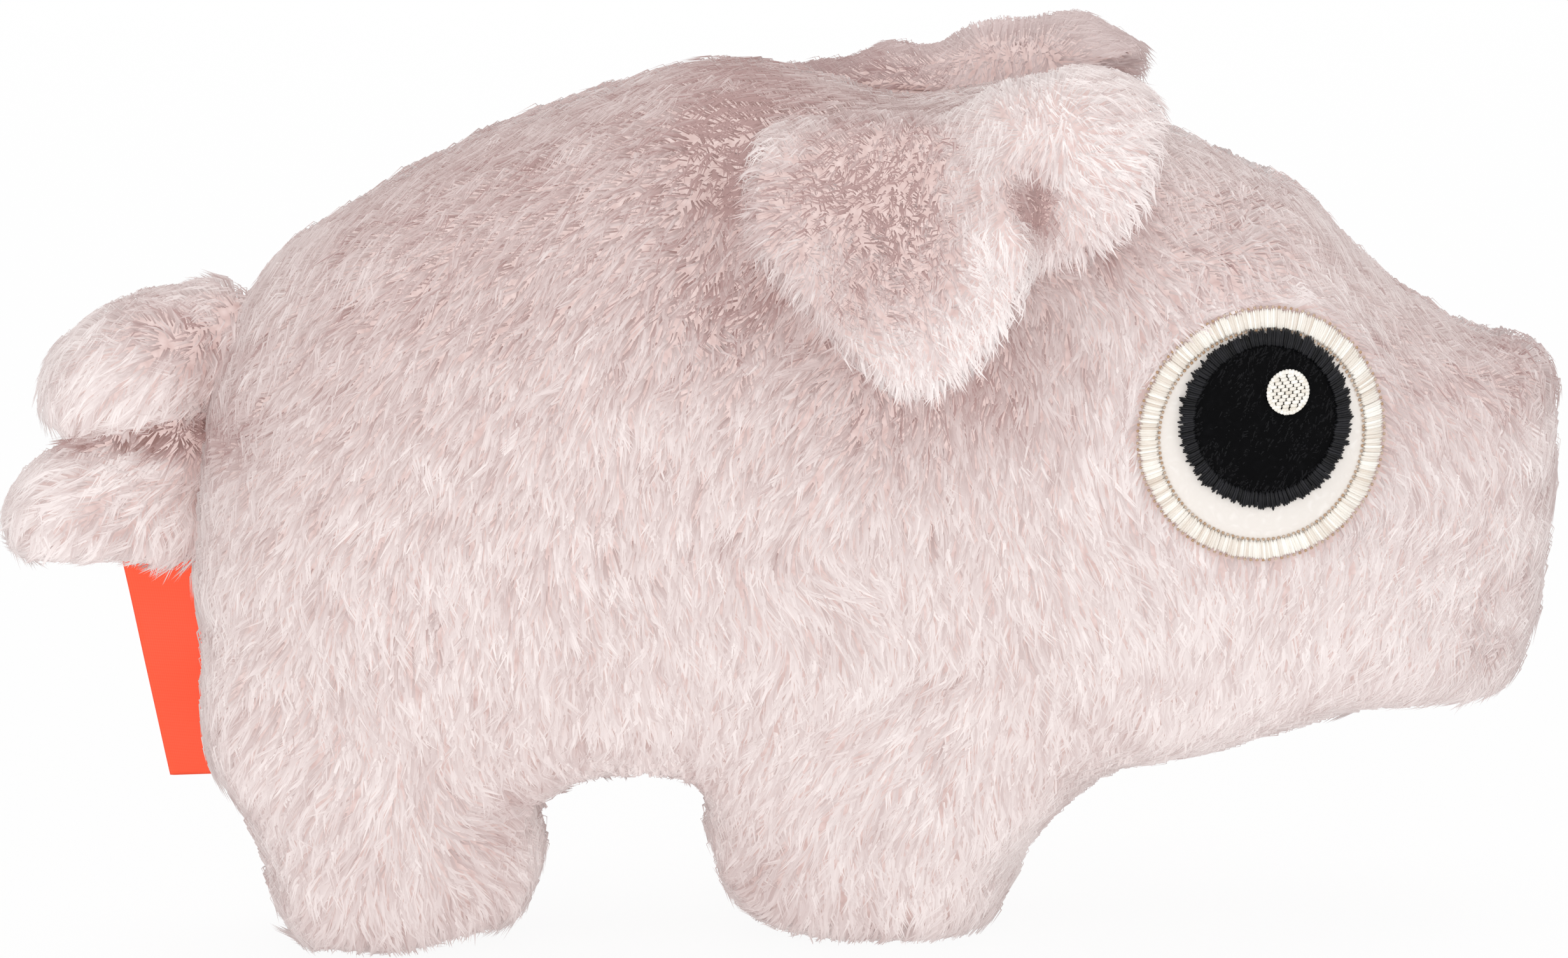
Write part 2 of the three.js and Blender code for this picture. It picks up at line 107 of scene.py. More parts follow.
def finished(name: str, shape: bmesh.types.BMesh) -> bpy.types.Object:
    """Closes a bmesh into an object with smooth faces.

    Args:
        name: The piece's name.
        shape: The bmesh, which is freed.

    Returns:
        The new object.
    """
    mesh = bpy.data.meshes.new(name)
    shape.to_mesh(mesh)
    shape.free()
    mesh.shade_smooth()
    return object_from(name, mesh)


def opened(piece: bpy.types.Object) -> bmesh.types.BMesh:
    """A bmesh of the piece's mesh."""
    shape = bmesh.new()
    shape.from_mesh(piece.data)
    return shape


def put_back(shape: bmesh.types.BMesh, piece: bpy.types.Object) -> None:
    """Writes a bmesh into its piece and frees it."""
    shape.to_mesh(piece.data)
    shape.free()


def points_of(shape: bmesh.types.BMesh) -> np.ndarray:
    """The bmesh's vertices as rows of x, y, z."""
    return np.array([vertex.co for vertex in shape.verts])


def bend_to(shape: bmesh.types.BMesh, places: np.ndarray) -> None:
    """Puts the bmesh's vertices at new places."""
    for vertex, place in zip(shape.verts, places):
        vertex.co = place


def sphere(across: int, upward: int) -> bmesh.types.BMesh:
    """A sphere of radius 1, whose faces come in the same order each run.

    Args:
        across: How many segments it has round its axis.
        upward: How many it has along its axis.

    Returns:
        The new bmesh.
    """
    rough, shape = bmesh.new(), bmesh.new()
    bmesh.ops.create_uvsphere(rough, u_segments=across, v_segments=upward, radius=1)
    rough.verts.index_update()
    points = [shape.verts.new(vertex.co) for vertex in rough.verts]
    rows = sorted([vertex.index for vertex in face.verts] for face in rough.faces)
    for row in rows:
        shape.faces.new([points[number] for number in row])
    shape.normal_update()
    rough.free()
    return shape


def cut_up(shape: bmesh.types.BMesh, heights: Iterable[float]) -> tuple[np.ndarray, np.ndarray]:
    """Cuts a shape across at some heights, and its faces into triangles.

    Args:
        shape: The bmesh, which is freed.
        heights: Where it is cut.

    Returns:
        Its points, and the point numbers of its triangles.
    """
    for height in heights:
        bmesh.ops.bisect_plane(
            shape, geom=[*shape.verts, *shape.edges, *shape.faces],
            plane_co=(0, 0, height), plane_no=(0, 0, 1),
        )
    bmesh.ops.triangulate(shape, faces=shape.faces)
    bmesh.ops.recalc_face_normals(shape, faces=shape.faces)
    shape.verts.index_update()
    points = points_of(shape)
    triangles = np.array([[vertex.index for vertex in face.verts] for face in shape.faces])
    shape.free()
    return points, triangles


def repeated(triangles: np.ndarray, pieces: int, points: int) -> np.ndarray:
    """The triangles of a row of like pieces with so many points each."""
    return (triangles[None] + (np.arange(pieces) * points)[:, None, None]).reshape(-1, 3)


def mesh_from(name: str, places: np.ndarray, triangles: np.ndarray, chart: np.ndarray) -> bpy.types.Mesh:
    """A smooth mesh from its numbers.

    Args:
        name: The mesh's name.
        places: A row of x, y, z for each vertex.
        triangles: A row of three vertex numbers for each face.
        chart: Each vertex's place on the map.

    Returns:
        The mesh.
    """
    corners = triangles.reshape(-1)
    mesh = bpy.data.meshes.new(name)
    mesh.vertices.add(len(places))
    mesh.vertices.foreach_set("co", places.astype(np.float32).ravel())
    mesh.loops.add(len(corners))
    mesh.loops.foreach_set("vertex_index", corners.astype(np.int32))
    mesh.polygons.add(len(triangles))
    mesh.polygons.foreach_set("loop_start", np.arange(0, len(corners), 3, dtype=np.int32))
    mesh.update(calc_edges=True)
    mesh.uv_layers.new(name=CHART).uv.foreach_set("vector", chart[corners].astype(np.float32).ravel())
    mesh.shade_smooth()
    return mesh


def places_of(mesh: bpy.types.Mesh) -> np.ndarray:
    """The mesh's vertices as rows of x, y, z."""
    flat = np.empty(len(mesh.vertices) * 3, np.float64)
    mesh.vertices.foreach_get("co", flat)
    return flat.reshape(-1, 3)


def normals_of(mesh: bpy.types.Mesh) -> np.ndarray:
    """The mesh's vertex normals as rows of x, y, z."""
    flat = np.empty(len(mesh.vertices) * 3, np.float64)
    mesh.vertex_normals.foreach_get("vector", flat)
    return flat.reshape(-1, 3)


def move_to(mesh: bpy.types.Mesh, places: np.ndarray) -> None:
    """Puts the mesh's vertices at new places."""
    mesh.vertices.foreach_set("co", places.astype(np.float32).ravel())
    mesh.update()


def unit(rows: np.ndarray) -> np.ndarray:
    """Each row at length 1."""
    return rows / np.maximum(np.linalg.norm(rows, axis=-1, keepdims=True), 1e-12)


def on_circle(angle: np.ndarray) -> np.ndarray:
    """The places at these angles on a circle of radius 1."""
    return np.stack([np.cos(angle), np.sin(angle)], 1)


def applied(piece: bpy.types.Object) -> bpy.types.Object:
    """Applies every modifier of the piece to its mesh.

    Args:
        piece: The object with its modifiers.

    Returns:
        The same object, with none left.
    """
    depsgraph = bpy.context.evaluated_depsgraph_get()
    mesh = bpy.data.meshes.new_from_object(piece.evaluated_get(depsgraph))
    mesh.name = piece.name
    piece.modifiers.clear()
    piece.data = mesh
    return piece


def joined_nodes(name: str, nodes: Iterable[str]) -> bpy.types.Object:
    """A copy of several CAD nodes in one mesh, with their loose triangles merged.

    Args:
        name: The new object's name.
        nodes: The names of the nodes.

    Returns:
        The new object.
    """
    shape = bmesh.new()
    for node in nodes:
        shape.from_mesh(frame["nodes"][node].data)
    bmesh.ops.remove_doubles(shape, verts=shape.verts, dist=0.01 * MM)
    return finished(name, shape)


def remeshed(piece: bpy.types.Object, voxel: float) -> bpy.types.Object:
    """Fuses the piece's shells into one outer surface of even faces.

    Args:
        piece: The object with overlapping or nested shells.
        voxel: The size of a face, in metres.

    Returns:
        The same object, with only its largest shell.
    """
    modifier = piece.modifiers.new("even", "REMESH")
    modifier.mode = "VOXEL"
    modifier.voxel_size = voxel
    shape = opened(applied(piece))
    unseen = set(shape.verts)
    largest: set = set()
    while unseen:
        start = unseen.pop()
        island, edge_of_search = {start}, [start]
        while edge_of_search:
            vertex = edge_of_search.pop()
            for edge in vertex.link_edges:
                other = edge.other_vert(vertex)
                if other in unseen:
                    unseen.discard(other)
                    island.add(other)
                    edge_of_search.append(other)
        if len(island) > len(largest):
            largest = island
    bmesh.ops.delete(shape, geom=[v for v in shape.verts if v not in largest], context="VERTS")
    put_back(shape, piece)
    return piece


def relaxed(piece: bpy.types.Object, rounds: int) -> None:
    """Smooths the piece's faceting away.

    Args:
        piece: The object.
        rounds: How often each vertex moves halfway towards its neighbours.
    """
    shape = opened(piece)
    for _ in range(rounds):
        bmesh.ops.smooth_vert(
            shape, verts=shape.verts, factor=0.5, use_axis_x=True, use_axis_y=True, use_axis_z=True)
    put_back(shape, piece)
    piece.data.shade_smooth()


def subdivided(piece: bpy.types.Object) -> None:
    """Splits each of the piece's faces in four, smoothly."""
    modifier = piece.modifiers.new("fine", "SUBSURF")
    modifier.levels = modifier.render_levels = 1
    applied(piece)


def thickened(piece: bpy.types.Object, thickness: float, offset: float) -> None:
    """Gives an open sheet or a shell its fabric's thickness.

    Args:
        piece: The object.
        thickness: How thick it gets, in metres.
        offset: Where the given surface ends up: 0 in the middle, -1 outside.
    """
    cloth = piece.modifiers.new("cloth", "SOLIDIFY")
    cloth.thickness, cloth.offset = thickness, offset
    applied(piece)


def smoothed_values(mesh: bpy.types.Mesh, values: np.ndarray, rounds: int) -> np.ndarray:
    """Averages values on a mesh's vertices with their neighbours.

    Args:
        mesh: The mesh.
        values: One value for each vertex.
        rounds: How often they are averaged.

    Returns:
        The smoothed values.
    """
    ends = np.empty(len(mesh.edges) * 2, np.int64)
    mesh.edges.foreach_get("vertices", ends)
    first, second = ends.reshape(-1, 2).T
    count = np.bincount(ends, minlength=len(values)).clip(1)
    for _ in range(rounds):
        total = np.bincount(first, values[second], len(values))
        total = total + np.bincount(second, values[first], len(values))
        values = 0.4 * values + 0.6 * total / count
    return values


def fitted(piece: bpy.types.Object, target: BVHTree, depth: float, rounds: int, cap: float) -> None:
    """Moves the piece so that on the whole it lies one depth inside a surface, and keeps its fine form.

    Args:
        piece: The object.
        target: The surface.
        depth: How far inside it the piece ends up.
        rounds: How much the moves are evened out.
        cap: The furthest that a place is moved.
    """
    places, normals = places_of(piece.data), normals_of(piece.data)
    gap = np.zeros(len(places))
    for index, (place, normal) in enumerate(zip(places, normals)):
        spot, facing, _, distance = target.find_nearest(Vector(place))
        gap[index] = distance * (1 if (Vector(place) - spot).dot(facing) > 0 else -1)
    move = -(gap + depth)
    move = smoothed_values(piece.data, move.clip(-cap, cap), rounds)
    move_to(piece.data, places + normals * move[:, None])


def spline(points: np.ndarray, ways: np.ndarray, closed: bool) -> np.ndarray:
    """A smooth curve through points.

    Args:
        points: Rows of numbers.
        ways: How far along the curve each wanted place is, from 0 to 1.
        closed: Whether the curve runs back to its start.

    Returns:
        A row for each wanted place.
    """
    count = len(points)
    if closed:
        rows = np.concatenate([points[-1:], points, points[:2]])
        spans = count
    else:
        rows = np.concatenate([2 * points[:1] - points[1:2], points, 2 * points[-1:] - points[-2:-1]])
        spans = count - 1
    at = ways * spans
    start = np.minimum(at.astype(int), spans - 1)
    t = (at - start)[:, None]
    a, b, c, d = (rows[start + k] for k in range(4))
    return 0.5 * (2 * b + (c - a) * t + (2 * a - 5 * b + 4 * c - d) * t**2 + (3 * b - a - 3 * c + d) * t**3)


def smoothstep(value: np.ndarray, low: float, high: float) -> np.ndarray:
    """A smooth rise.

    Args:
        value: The numbers that it depends on.
        low: Up to here it is 0.
        high: From here on it is 1.

    Returns:
        A number from 0 to 1 for each value.
    """
    share = ((value - low) / (high - low)).clip(0, 1)
    return share * share * (3 - 2 * share)


class Drift:
    """A smooth random field over space, made of a few crossing waves."""

    WAVES = 18

    def __init__(self, seed: int, wavelength: float) -> None:
        """Draws the waves.

        Args:
            seed: What the random draw starts from.
            wavelength: The usual distance between crests, in metres.
        """
        draw = np.random.default_rng(seed)
        heading = unit(draw.normal(size=(self.WAVES, 3)))
        spread = draw.uniform(0.7, 1.45, (self.WAVES, 1))
        self.turns = heading * spread * FULL_TURN / wavelength
        self.phases = draw.uniform(0, FULL_TURN, self.WAVES)

    def at(self, places: np.ndarray) -> np.ndarray:
        """The field's strength.

        Args:
            places: Rows of x, y, z.

        Returns:
            A number for each place, mostly within -1 to 1.
        """
        total = np.zeros(len(places))
        for turn, phase in zip(self.turns, self.phases):
            total += np.sin(places @ turn + phase)
        return total / math.sqrt(self.WAVES / 2) * 0.6


# The lay of the pile


@dataclass(frozen=True)
class Comb:
    """One stroke of the hand over the pile, in millimetres on the side view.

    The sweep is in degrees from straight down, positive towards the tail.
    """

    x: float
    z: float
    sweep: float


@dataclass(frozen=True)
class Ruffle:
    """A round patch where the pile is rubbed up: it stands in closed tufts that are painted darker, as the
    shade among them would make them.
    """

    x: float
    z: float
    radius: float
    strength: float


@dataclass(frozen=True)
class ToneAndShadingPatch:
    """A round patch that is lighter or darker, or lies calmer, than the fabric round it: partly the pile's
    own tone, partly painted shade and painted light.
    """

    x: float
    z: float
    radius: float
    lift: float


def many(kind: type, *rows: tuple) -> list:
    """One thing of this kind for each row of its values."""
    return [kind(*row) for row in rows]


def fading(places: np.ndarray, patch: Ruffle | ToneAndShadingPatch) -> np.ndarray:
    """How strongly each place feels a round patch on the side view, from 0 to 1."""
    apart = np.hypot(places[:, 0] / MM - patch.x, places[:, 2] / MM - patch.z) / patch.radius
    return np.exp(-(apart**2))


def lifted(places: np.ndarray, patches: Iterable[ToneAndShadingPatch]) -> np.ndarray:
    """How much the patches lift each place, taken together."""
    return sum((patch.lift * fading(places, patch) for patch in patches), np.zeros(len(places)))


CALMNESS = (-2, 0.85)  # the least and the most


@dataclass
class Brushing:
    """How the pile of one piece lies, from strokes, ruffles, patches of tone and painted shading, and calm
    patches.
    """

    combs: list[Comb]
    ruffles: list[Ruffle] = field(default_factory=list)
    # patches of the pile's own tone, with painted shade and painted light
    tints: list[ToneAndShadingPatch] = field(default_factory=list)
    calms: list[ToneAndShadingPatch] = field(default_factory=list)
    outward: float = 0.25  # how far the tips turn away from the middle plane
    softness: float = 4.0  # how wide one stroke is
    parted: Triple | None = None  # x, z and radius of what the pile is pushed away from

    def headings(self, places: np.ndarray) -> tuple[np.ndarray, np.ndarray]:
        """The way the tips point.

        Args:
            places: Rows of x, y, z.

        Returns:
            A unit row for each place, and how much the strokes round it agree, from 0 to 1.
        """
        side = places[:, [0, 2]] / MM
        total, weights = np.zeros((len(places), 2)), np.zeros(len(places))
        for comb in self.combs:
            apart = (side[:, 0] - comb.x) ** 2 + (side[:, 1] - comb.z) ** 2
            weight = 1 / (apart + self.softness**2) ** 2
            angle = math.radians(comb.sweep)
            total += weight[:, None] * np.array([-math.sin(angle), -math.cos(angle)])
            weights += weight
        agreement = np.linalg.norm(total, axis=1) / weights
        total = unit(total)
        if self.parted is not None:
            push = 0.45 * self.parting(places)[:, None]
            total = unit(total * (1 - push) + unit(side - np.array(self.parted[:2])) * push)
        out = np.sign(places[:, 1]) * np.clip(np.abs(places[:, 1]) / (4 * MM), 0, 1)
        return unit(np.stack([total[:, 0], self.outward * out, total[:, 1]], 1)), agreement

    def parting(self, places: np.ndarray) -> np.ndarray:
        """How strongly the pile is pushed away and pressed short.

        Args:
            places: Rows of x, y, z.

        Returns:
            A number from 0 to 1 for each place.
        """
        if self.parted is None:
            return np.zeros(len(places))
        side = places[:, [0, 2]] / MM - np.array(self.parted[:2])
        return np.exp(-((((np.linalg.norm(side, axis=1) - self.parted[2]) / 2.6).clip(0, None)) ** 2))

    def ruffled(self, places: np.ndarray) -> np.ndarray:
        """How rubbed up the pile is.

        Args:
            places: Rows of x, y, z.

        Returns:
            A number from 0 to 1 for each place.
        """
        calm = np.ones(len(places))
        for patch in self.ruffles:
            calm *= 1 - patch.strength * fading(places, patch)
        return 1 - calm

    def shade(self, places: np.ndarray) -> np.ndarray:
        """How much lighter the patches of tone and painted shading make each place."""
        return lifted(places, self.tints)

    def calm(self, places: np.ndarray) -> np.ndarray:
        """How little of the roots' painted shade shows: below 0 more of it, up to 0.85 hardly any."""
        return lifted(places, self.calms).clip(*CALMNESS) * (1 - 0.6 * self.ruffled(places))


@dataclass(frozen=True)
class Pile:
    """How a fabric's pile stands. Lengths are in millimetres."""

    density: float  # strands a square millimetre
    length: float
    lift: float  # from the backing to the pile's surface
    width: float  # of one strand near its root
    lock: float  # spacing of the locks that strands gather in
    draw: float = 0.5  # how far a lock's strands close up at their tips
    unrest: float = 9.0  # degrees that a lock strays from the brushing
    stray: float = 0.15  # share of strands that are fine and stand free
    light: float = 0.5  # middle shade, from 0 dark to 1 light


@dataclass(frozen=True)
class Curves:
    """The curves of many strands, with a row for each strand."""

    base: np.ndarray  # where it starts, under the backing's surface
    bend: np.ndarray  # what pulls its curve
    tip: np.ndarray  # where it ends
    normal: np.ndarray  # the backing's outward normal under it
    width: np.ndarray  # half the blade's width at its root
    # a strand's shade holds painted shade and painted light as well as its tone, and its root's dark end is
    # painted shade among the strands
    shade: np.ndarray  # from 0 to 1
    calm: np.ndarray  # how much of its root's dark end is left out

    def part(self, rows: np.ndarray) -> "Curves":
        """Some of the curves."""
        return Curves(*(getattr(self, item.name)[rows] for item in fields(self)))


@dataclass
class Strands:
    """Plants a pile's strands over a ground mesh as closed tapered blades."""

    ground: bpy.types.Object
    brushing: Brushing
    pile: Pile
    seed: int
    keep: Callable[[np.ndarray, np.ndarray], np.ndarray] | None = None
    glow: Triple = (0.0, 0.0, 0.0)  # where light gets through a thin edge from
    lean: float = 0.0  # how far the shading turns out to the side that a strand is on

    MOST = 19_000  # strands in one piece
    EVENNESS = 0.88  # how far a strand's shading follows the fabric under it
    FACING = 0.4  # how far at least a corner's shading normal points to its face's outer side
    BURIED = 0.3 * MM  # how deep a strand starts under the backing's surface
    STEEP = 0.15  # where less of its heading than this lies on the fabric, a strand turns to the tail
    TO_TAIL = np.array([-0.3, 0, 0])

    def blade(self) -> tuple[np.ndarray, np.ndarray]:
        """One straight strand: a three-sided cone with a ring at its middle.

        Returns:
            Its points as across, up and along, and its triangles.
        """
        shape = bmesh.new()
        bmesh.ops.create_cone(shape, cap_ends=True, segments=3, radius1=1, radius2=0, depth=1)
        points, triangles = cut_up(shape, (0,))
        points[:, :2] *= -1
        points[:, 2] += 0.5
        radius = np.maximum(1 - points[:, 2:], 1e-9)
        points[:, :2] = np.where(points[:, 2:] < 0.999, points[:, :2] / radius, 0)
        return points, triangles

    def roots(self) -> tuple[np.ndarray, np.ndarray, np.ndarray]:
        """Even random places on the ground.

        Returns:
            The places, their outward normals, and a draw of random numbers for each.
        """
        mesh = self.ground.data
        mesh.calc_loop_triangles()
        corners = np.empty(len(mesh.loop_triangles) * 3, np.int64)
        mesh.loop_triangles.foreach_get("vertices", corners)
        corners = corners.reshape(-1, 3)
        places, normals = places_of(mesh), normals_of(mesh)
        a, b, c = (places[corners[:, k]] for k in range(3))
        area = np.linalg.norm(np.cross(b - a, c - a), axis=1) / 2
        reach = np.cumsum(area)
        count = int(reach[-1] / MM**2 * self.pile.density)
        draw = np.random.default_rng(self.seed)
        at = (np.arange(count) + draw.uniform(0, 1, count)) / count * reach[-1]
        face = np.searchsorted(reach, at).clip(0, len(area) - 1)
        first, second = draw.uniform(0, 1, (2, count))
        over = first + second > 1
        first, second = np.where(over, 1 - first, first), np.where(over, 1 - second, second)
        shares = np.stack([1 - first - second, first, second], 1)[:, :, None]
        root = (places[corners[face]] * shares).sum(1)
        normal = unit((normals[corners[face]] * shares).sum(1))
        luck = draw.normal(size=(count, 8))
        if self.keep is not None:
            kept = self.keep(root, normal)
            root, normal, luck = root[kept], normal[kept], luck[kept]
        return root, normal, luck

    def plant(self, name: str, body: str, finish: bpy.types.Material) -> None:
        """Grows the strands and splits them into pieces along x.

        Args:
            name: What the pieces' names start with.
            body: The body that they ride on.
            finish: The material that they wear.
        """
        root, normal, luck = self.roots()
        curves = self.curves(root, normal, luck)
        order = np.argsort(root[:, 0], kind="stable")
        parts = max(1, math.ceil(len(root) / self.MOST))
        for number, rows in enumerate(np.array_split(order, parts), 1):
            piece = self.bladed(f"{name}_{number}" if parts > 1 else name, curves.part(rows))
            piece.data.materials.append(finish)
            piece.visible_shadow = False  # light passes through real fibres; the backing throws the shadow
            piece.visible_diffuse = False
            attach(piece, body)
        log.info("%s: %d strands in %d pieces", name, len(root), parts)

    def curves(self, root: np.ndarray, normal: np.ndarray, luck: np.ndarray) -> Curves:
        """Lays each strand along the brushing, drawn towards the others of its lock.

        Args:
            root: Where each strand stands on the backing.
            normal: The backing's outward normal there.
            luck: Eight normal random numbers for each strand.

        Returns:
            The strands' curves.
        """
        pile = self.pile
        count = len(root)
        draw = np.random.default_rng(self.seed + 1)

        # the way that it is brushed
        heading, agreement = self.brushing.headings(root)
        along = heading - normal * (heading * normal).sum(1, keepdims=True)
        weak = np.linalg.norm(along, axis=1) < self.STEEP
        along[weak] += self.TO_TAIL - normal[weak] * (normal[weak] @ self.TO_TAIL)[:, None]
        along = unit(along)
        across = np.cross(normal, along)

        # its lock, and how the lock and the strand stray from that way
        rub = self.brushing.ruffled(root)
        locks = max(int(count / (pile.density * pile.lock**2)), 1)
        chosen = draw.permutation(count)[:locks]
        lock, edge = self.gathered(root, along, chosen, 2.4 - 1.2 * rub)
        lock_luck = draw.normal(size=(locks, 6)).clip(-2.2, 2.2)
        broad, fine = Drift(self.seed + 2, 9 * MM).at(root), Drift(self.seed + 3, 3 * MM).at(root)
        turn = np.radians(pile.unrest) * (0.7 * lock_luck[lock, 0] + 1.1 * broad + 0.9 * fine)
        turn = turn * (1 + 4.5 * rub) + np.radians(4) * luck[:, 0]
        stray = draw.uniform(0, 1, count) < pile.stray
        turn = turn + np.where(stray, np.radians(14) * luck[:, 1], 0)
        forward = along * np.cos(turn)[:, None] + across * np.sin(turn)[:, None]
        sideways = np.cross(normal, forward)

        # its length, how high it stands and how far it reaches, in millimetres
        length = pile.length * (1 + 0.1 * lock_luck[lock, 1] + 0.07 * luck[:, 2].clip(-2, 2))
        length = length * (1 - 0.3 * rub)
        lift = pile.lift * (1 + 0.08 * lock_luck[lock, 2] + 0.1 * broad + 0.05 * luck[:, 3].clip(-2, 2))
        lift = lift * (1 + 0.12 * rub) * np.where(stray, 1.12, 1) * (1.08 - 0.16 * edge)
        parted = self.brushing.parting(root)
        length, lift = length * (1 - 0.4 * parted), lift * (1 - 0.35 * parted)
        calm = (self.brushing.calm(root) + 0.5 * parted + 0.25 * rub).clip(*CALMNESS)
        reach = np.sqrt(np.maximum(length**2 - lift**2, (0.3 * length) ** 2)) * (1 - 0.3 * rub)
        reach = reach * (0.35 + 0.65 * smoothstep(agreement, 0.3, 0.9))

        # its curve, drawn towards the middle strand of its lock
        base = root - normal * self.BURIED
        bend = root + normal * (lift * 1.25 * MM)[:, None] + forward * (reach * 0.3 * MM)[:, None]
        bend = bend + sideways * (0.22 * reach * lock_luck[lock, 3] * MM)[:, None]
        droop = 0.5 + 0.1 * luck[:, 4].clip(-1.5, 1.5)
        tip = root + normal * (lift * droop * MM)[:, None] + forward * (reach * MM)[:, None]
        tip = tip + sideways * (0.12 * reach * lock_luck[lock, 4] * MM)[:, None]
        close = np.where(stray, 0.15, pile.draw * (1 - 0.5 * calm.clip(0, 1)) + 0.3 * rub)[:, None]
        for place, share in ((tip, close), (bend, close * 0.4)):
            apart = place[chosen][lock] - place
            apart -= 0.6 * forward * (apart * forward).sum(1, keepdims=True)
            place += apart * share

        # painted shade: rubbed patches and the edges of each lock are darker, as shade among the tufts and
        # between locks would make them; the patches add tone with painted shade and light
        shade = pile.light + self.brushing.shade(root) - 0.4 * rub + (0.2 + 0.1 * rub) * (0.5 - edge)
        shade = shade + 0.07 * lock_luck[lock, 5] + 0.05 * luck[:, 5] + 0.06 * broad
        width = pile.width * (1 + 0.12 * luck[:, 6].clip(-2, 2)) * np.where(stray, 0.45, 1) * MM
        return Curves(base, bend, tip, normal, width, shade, calm)

    def gathered(
        self, root: np.ndarray, along: np.ndarray, chosen: np.ndarray, ratio: np.ndarray,
    ) -> tuple[np.ndarray, np.ndarray]:
        """Gives each strand to a lock; locks are longer along the brushing than they are wide.

        Args:
            root: Where the strands start.
            along: The way that each of them is brushed.
            chosen: The strand in the middle of each lock.
            ratio: How much longer than wide a lock is at each strand.

        Returns:
            The number of each strand's lock, and how near it is to the lock's edge, from 0 to about 1.
        """
        tree = KDTree(len(chosen))
        for k, index in enumerate(chosen):
            tree.insert(root[index], k)
        tree.balance()
        near = np.array([[found[1] for found in tree.find_n(place, 6)] for place in root])
        apart = root[chosen][near] - root[:, None]
        run = (apart * along[:, None]).sum(2)
        side = ((apart**2).sum(2) - run**2).clip(0, None)
        best = (side + (run / ratio[:, None]) ** 2).argmin(1)
        rows = np.arange(len(root))
        half = 0.5 * self.pile.lock * MM / np.sqrt(ratio)
        return near[rows, best], (np.sqrt(side[rows, best]) / half).clip(0, 1.4)

    def bladed(self, name: str, curves: Curves) -> bpy.types.Object:
        """Sweeps the blade along each strand's curve.

        Args:
            name: The piece's name.
            curves: The strands' curves.

        Returns:
            The object, whose map holds the shade and the place along the strand.
        """
        points, triangles = self.blade()
        base, bend, tip = curves.base[:, None], curves.bend[:, None], curves.tip[:, None]
        way = points[:, 2]
        start, middle, end = (1 - way) ** 2, 2 * way * (1 - way), way**2
        centre = base * start[:, None] + bend * middle[:, None] + tip * end[:, None]
        run = unit((bend - base) * (1 - way)[:, None] + (tip - bend) * way[:, None])
        sideways = unit(np.cross(curves.normal[:, None], run))
        upward = np.cross(run, sideways)
        girth = np.where(way < 0.25, 0.8, 1.0)
        offset = sideways * (points[:, 0] * girth)[:, None] + upward * (points[:, 1] * girth * 0.7)[:, None]
        places = (centre + offset * curves.width[:, None, None]).reshape(-1, 3)
        triangles = repeated(triangles, len(base), len(points))
        calm = curves.calm[:, None]
        across = curves.shade.clip(0.03, 0.97)[:, None] + 0.02 * points[:, 0]
        up = 0.02 + 0.96 * (calm + (1 - calm) * way).clip(0, 1) + 0.01 * points[:, 1]
        mesh = mesh_from(name, places, triangles, np.stack([across, up], 2).reshape(-1, 2))
        lit_from = curves.normal + np.array(self.glow)
        lit_from[:, 1] += self.lean * (curves.base[:, 1] / (6 * MM)).clip(-1, 1)
        facing = lit_from[:, None] * self.EVENNESS + offset * (1 - self.EVENNESS)
        self.set_normals(mesh, places, unit(facing.reshape(-1, 3)), triangles)
        return object_from(name, mesh)

    def set_normals(
        self, mesh: bpy.types.Mesh, places: np.ndarray, facing: np.ndarray, triangles: np.ndarray,
    ) -> None:
        """Gives each corner its shading normal, turned so far that it stays on its face's outer side.

        Args:
            mesh: The strands.
            places: Their vertices.
            facing: The wanted normal at each vertex.
            triangles: The vertices of each face.
        """
        a, b, c = (places[triangles[:, k]] for k in range(3))
        flat = unit(np.cross(b - a, c - a))
        corner = facing[triangles]
        short = (self.FACING - (corner * flat[:, None]).sum(2)).clip(0, None)
        corner = corner + flat[:, None] * short[:, :, None]
        mesh.normals_split_custom_set(unit(corner.reshape(-1, 3)).astype(np.float32))


# Finishes


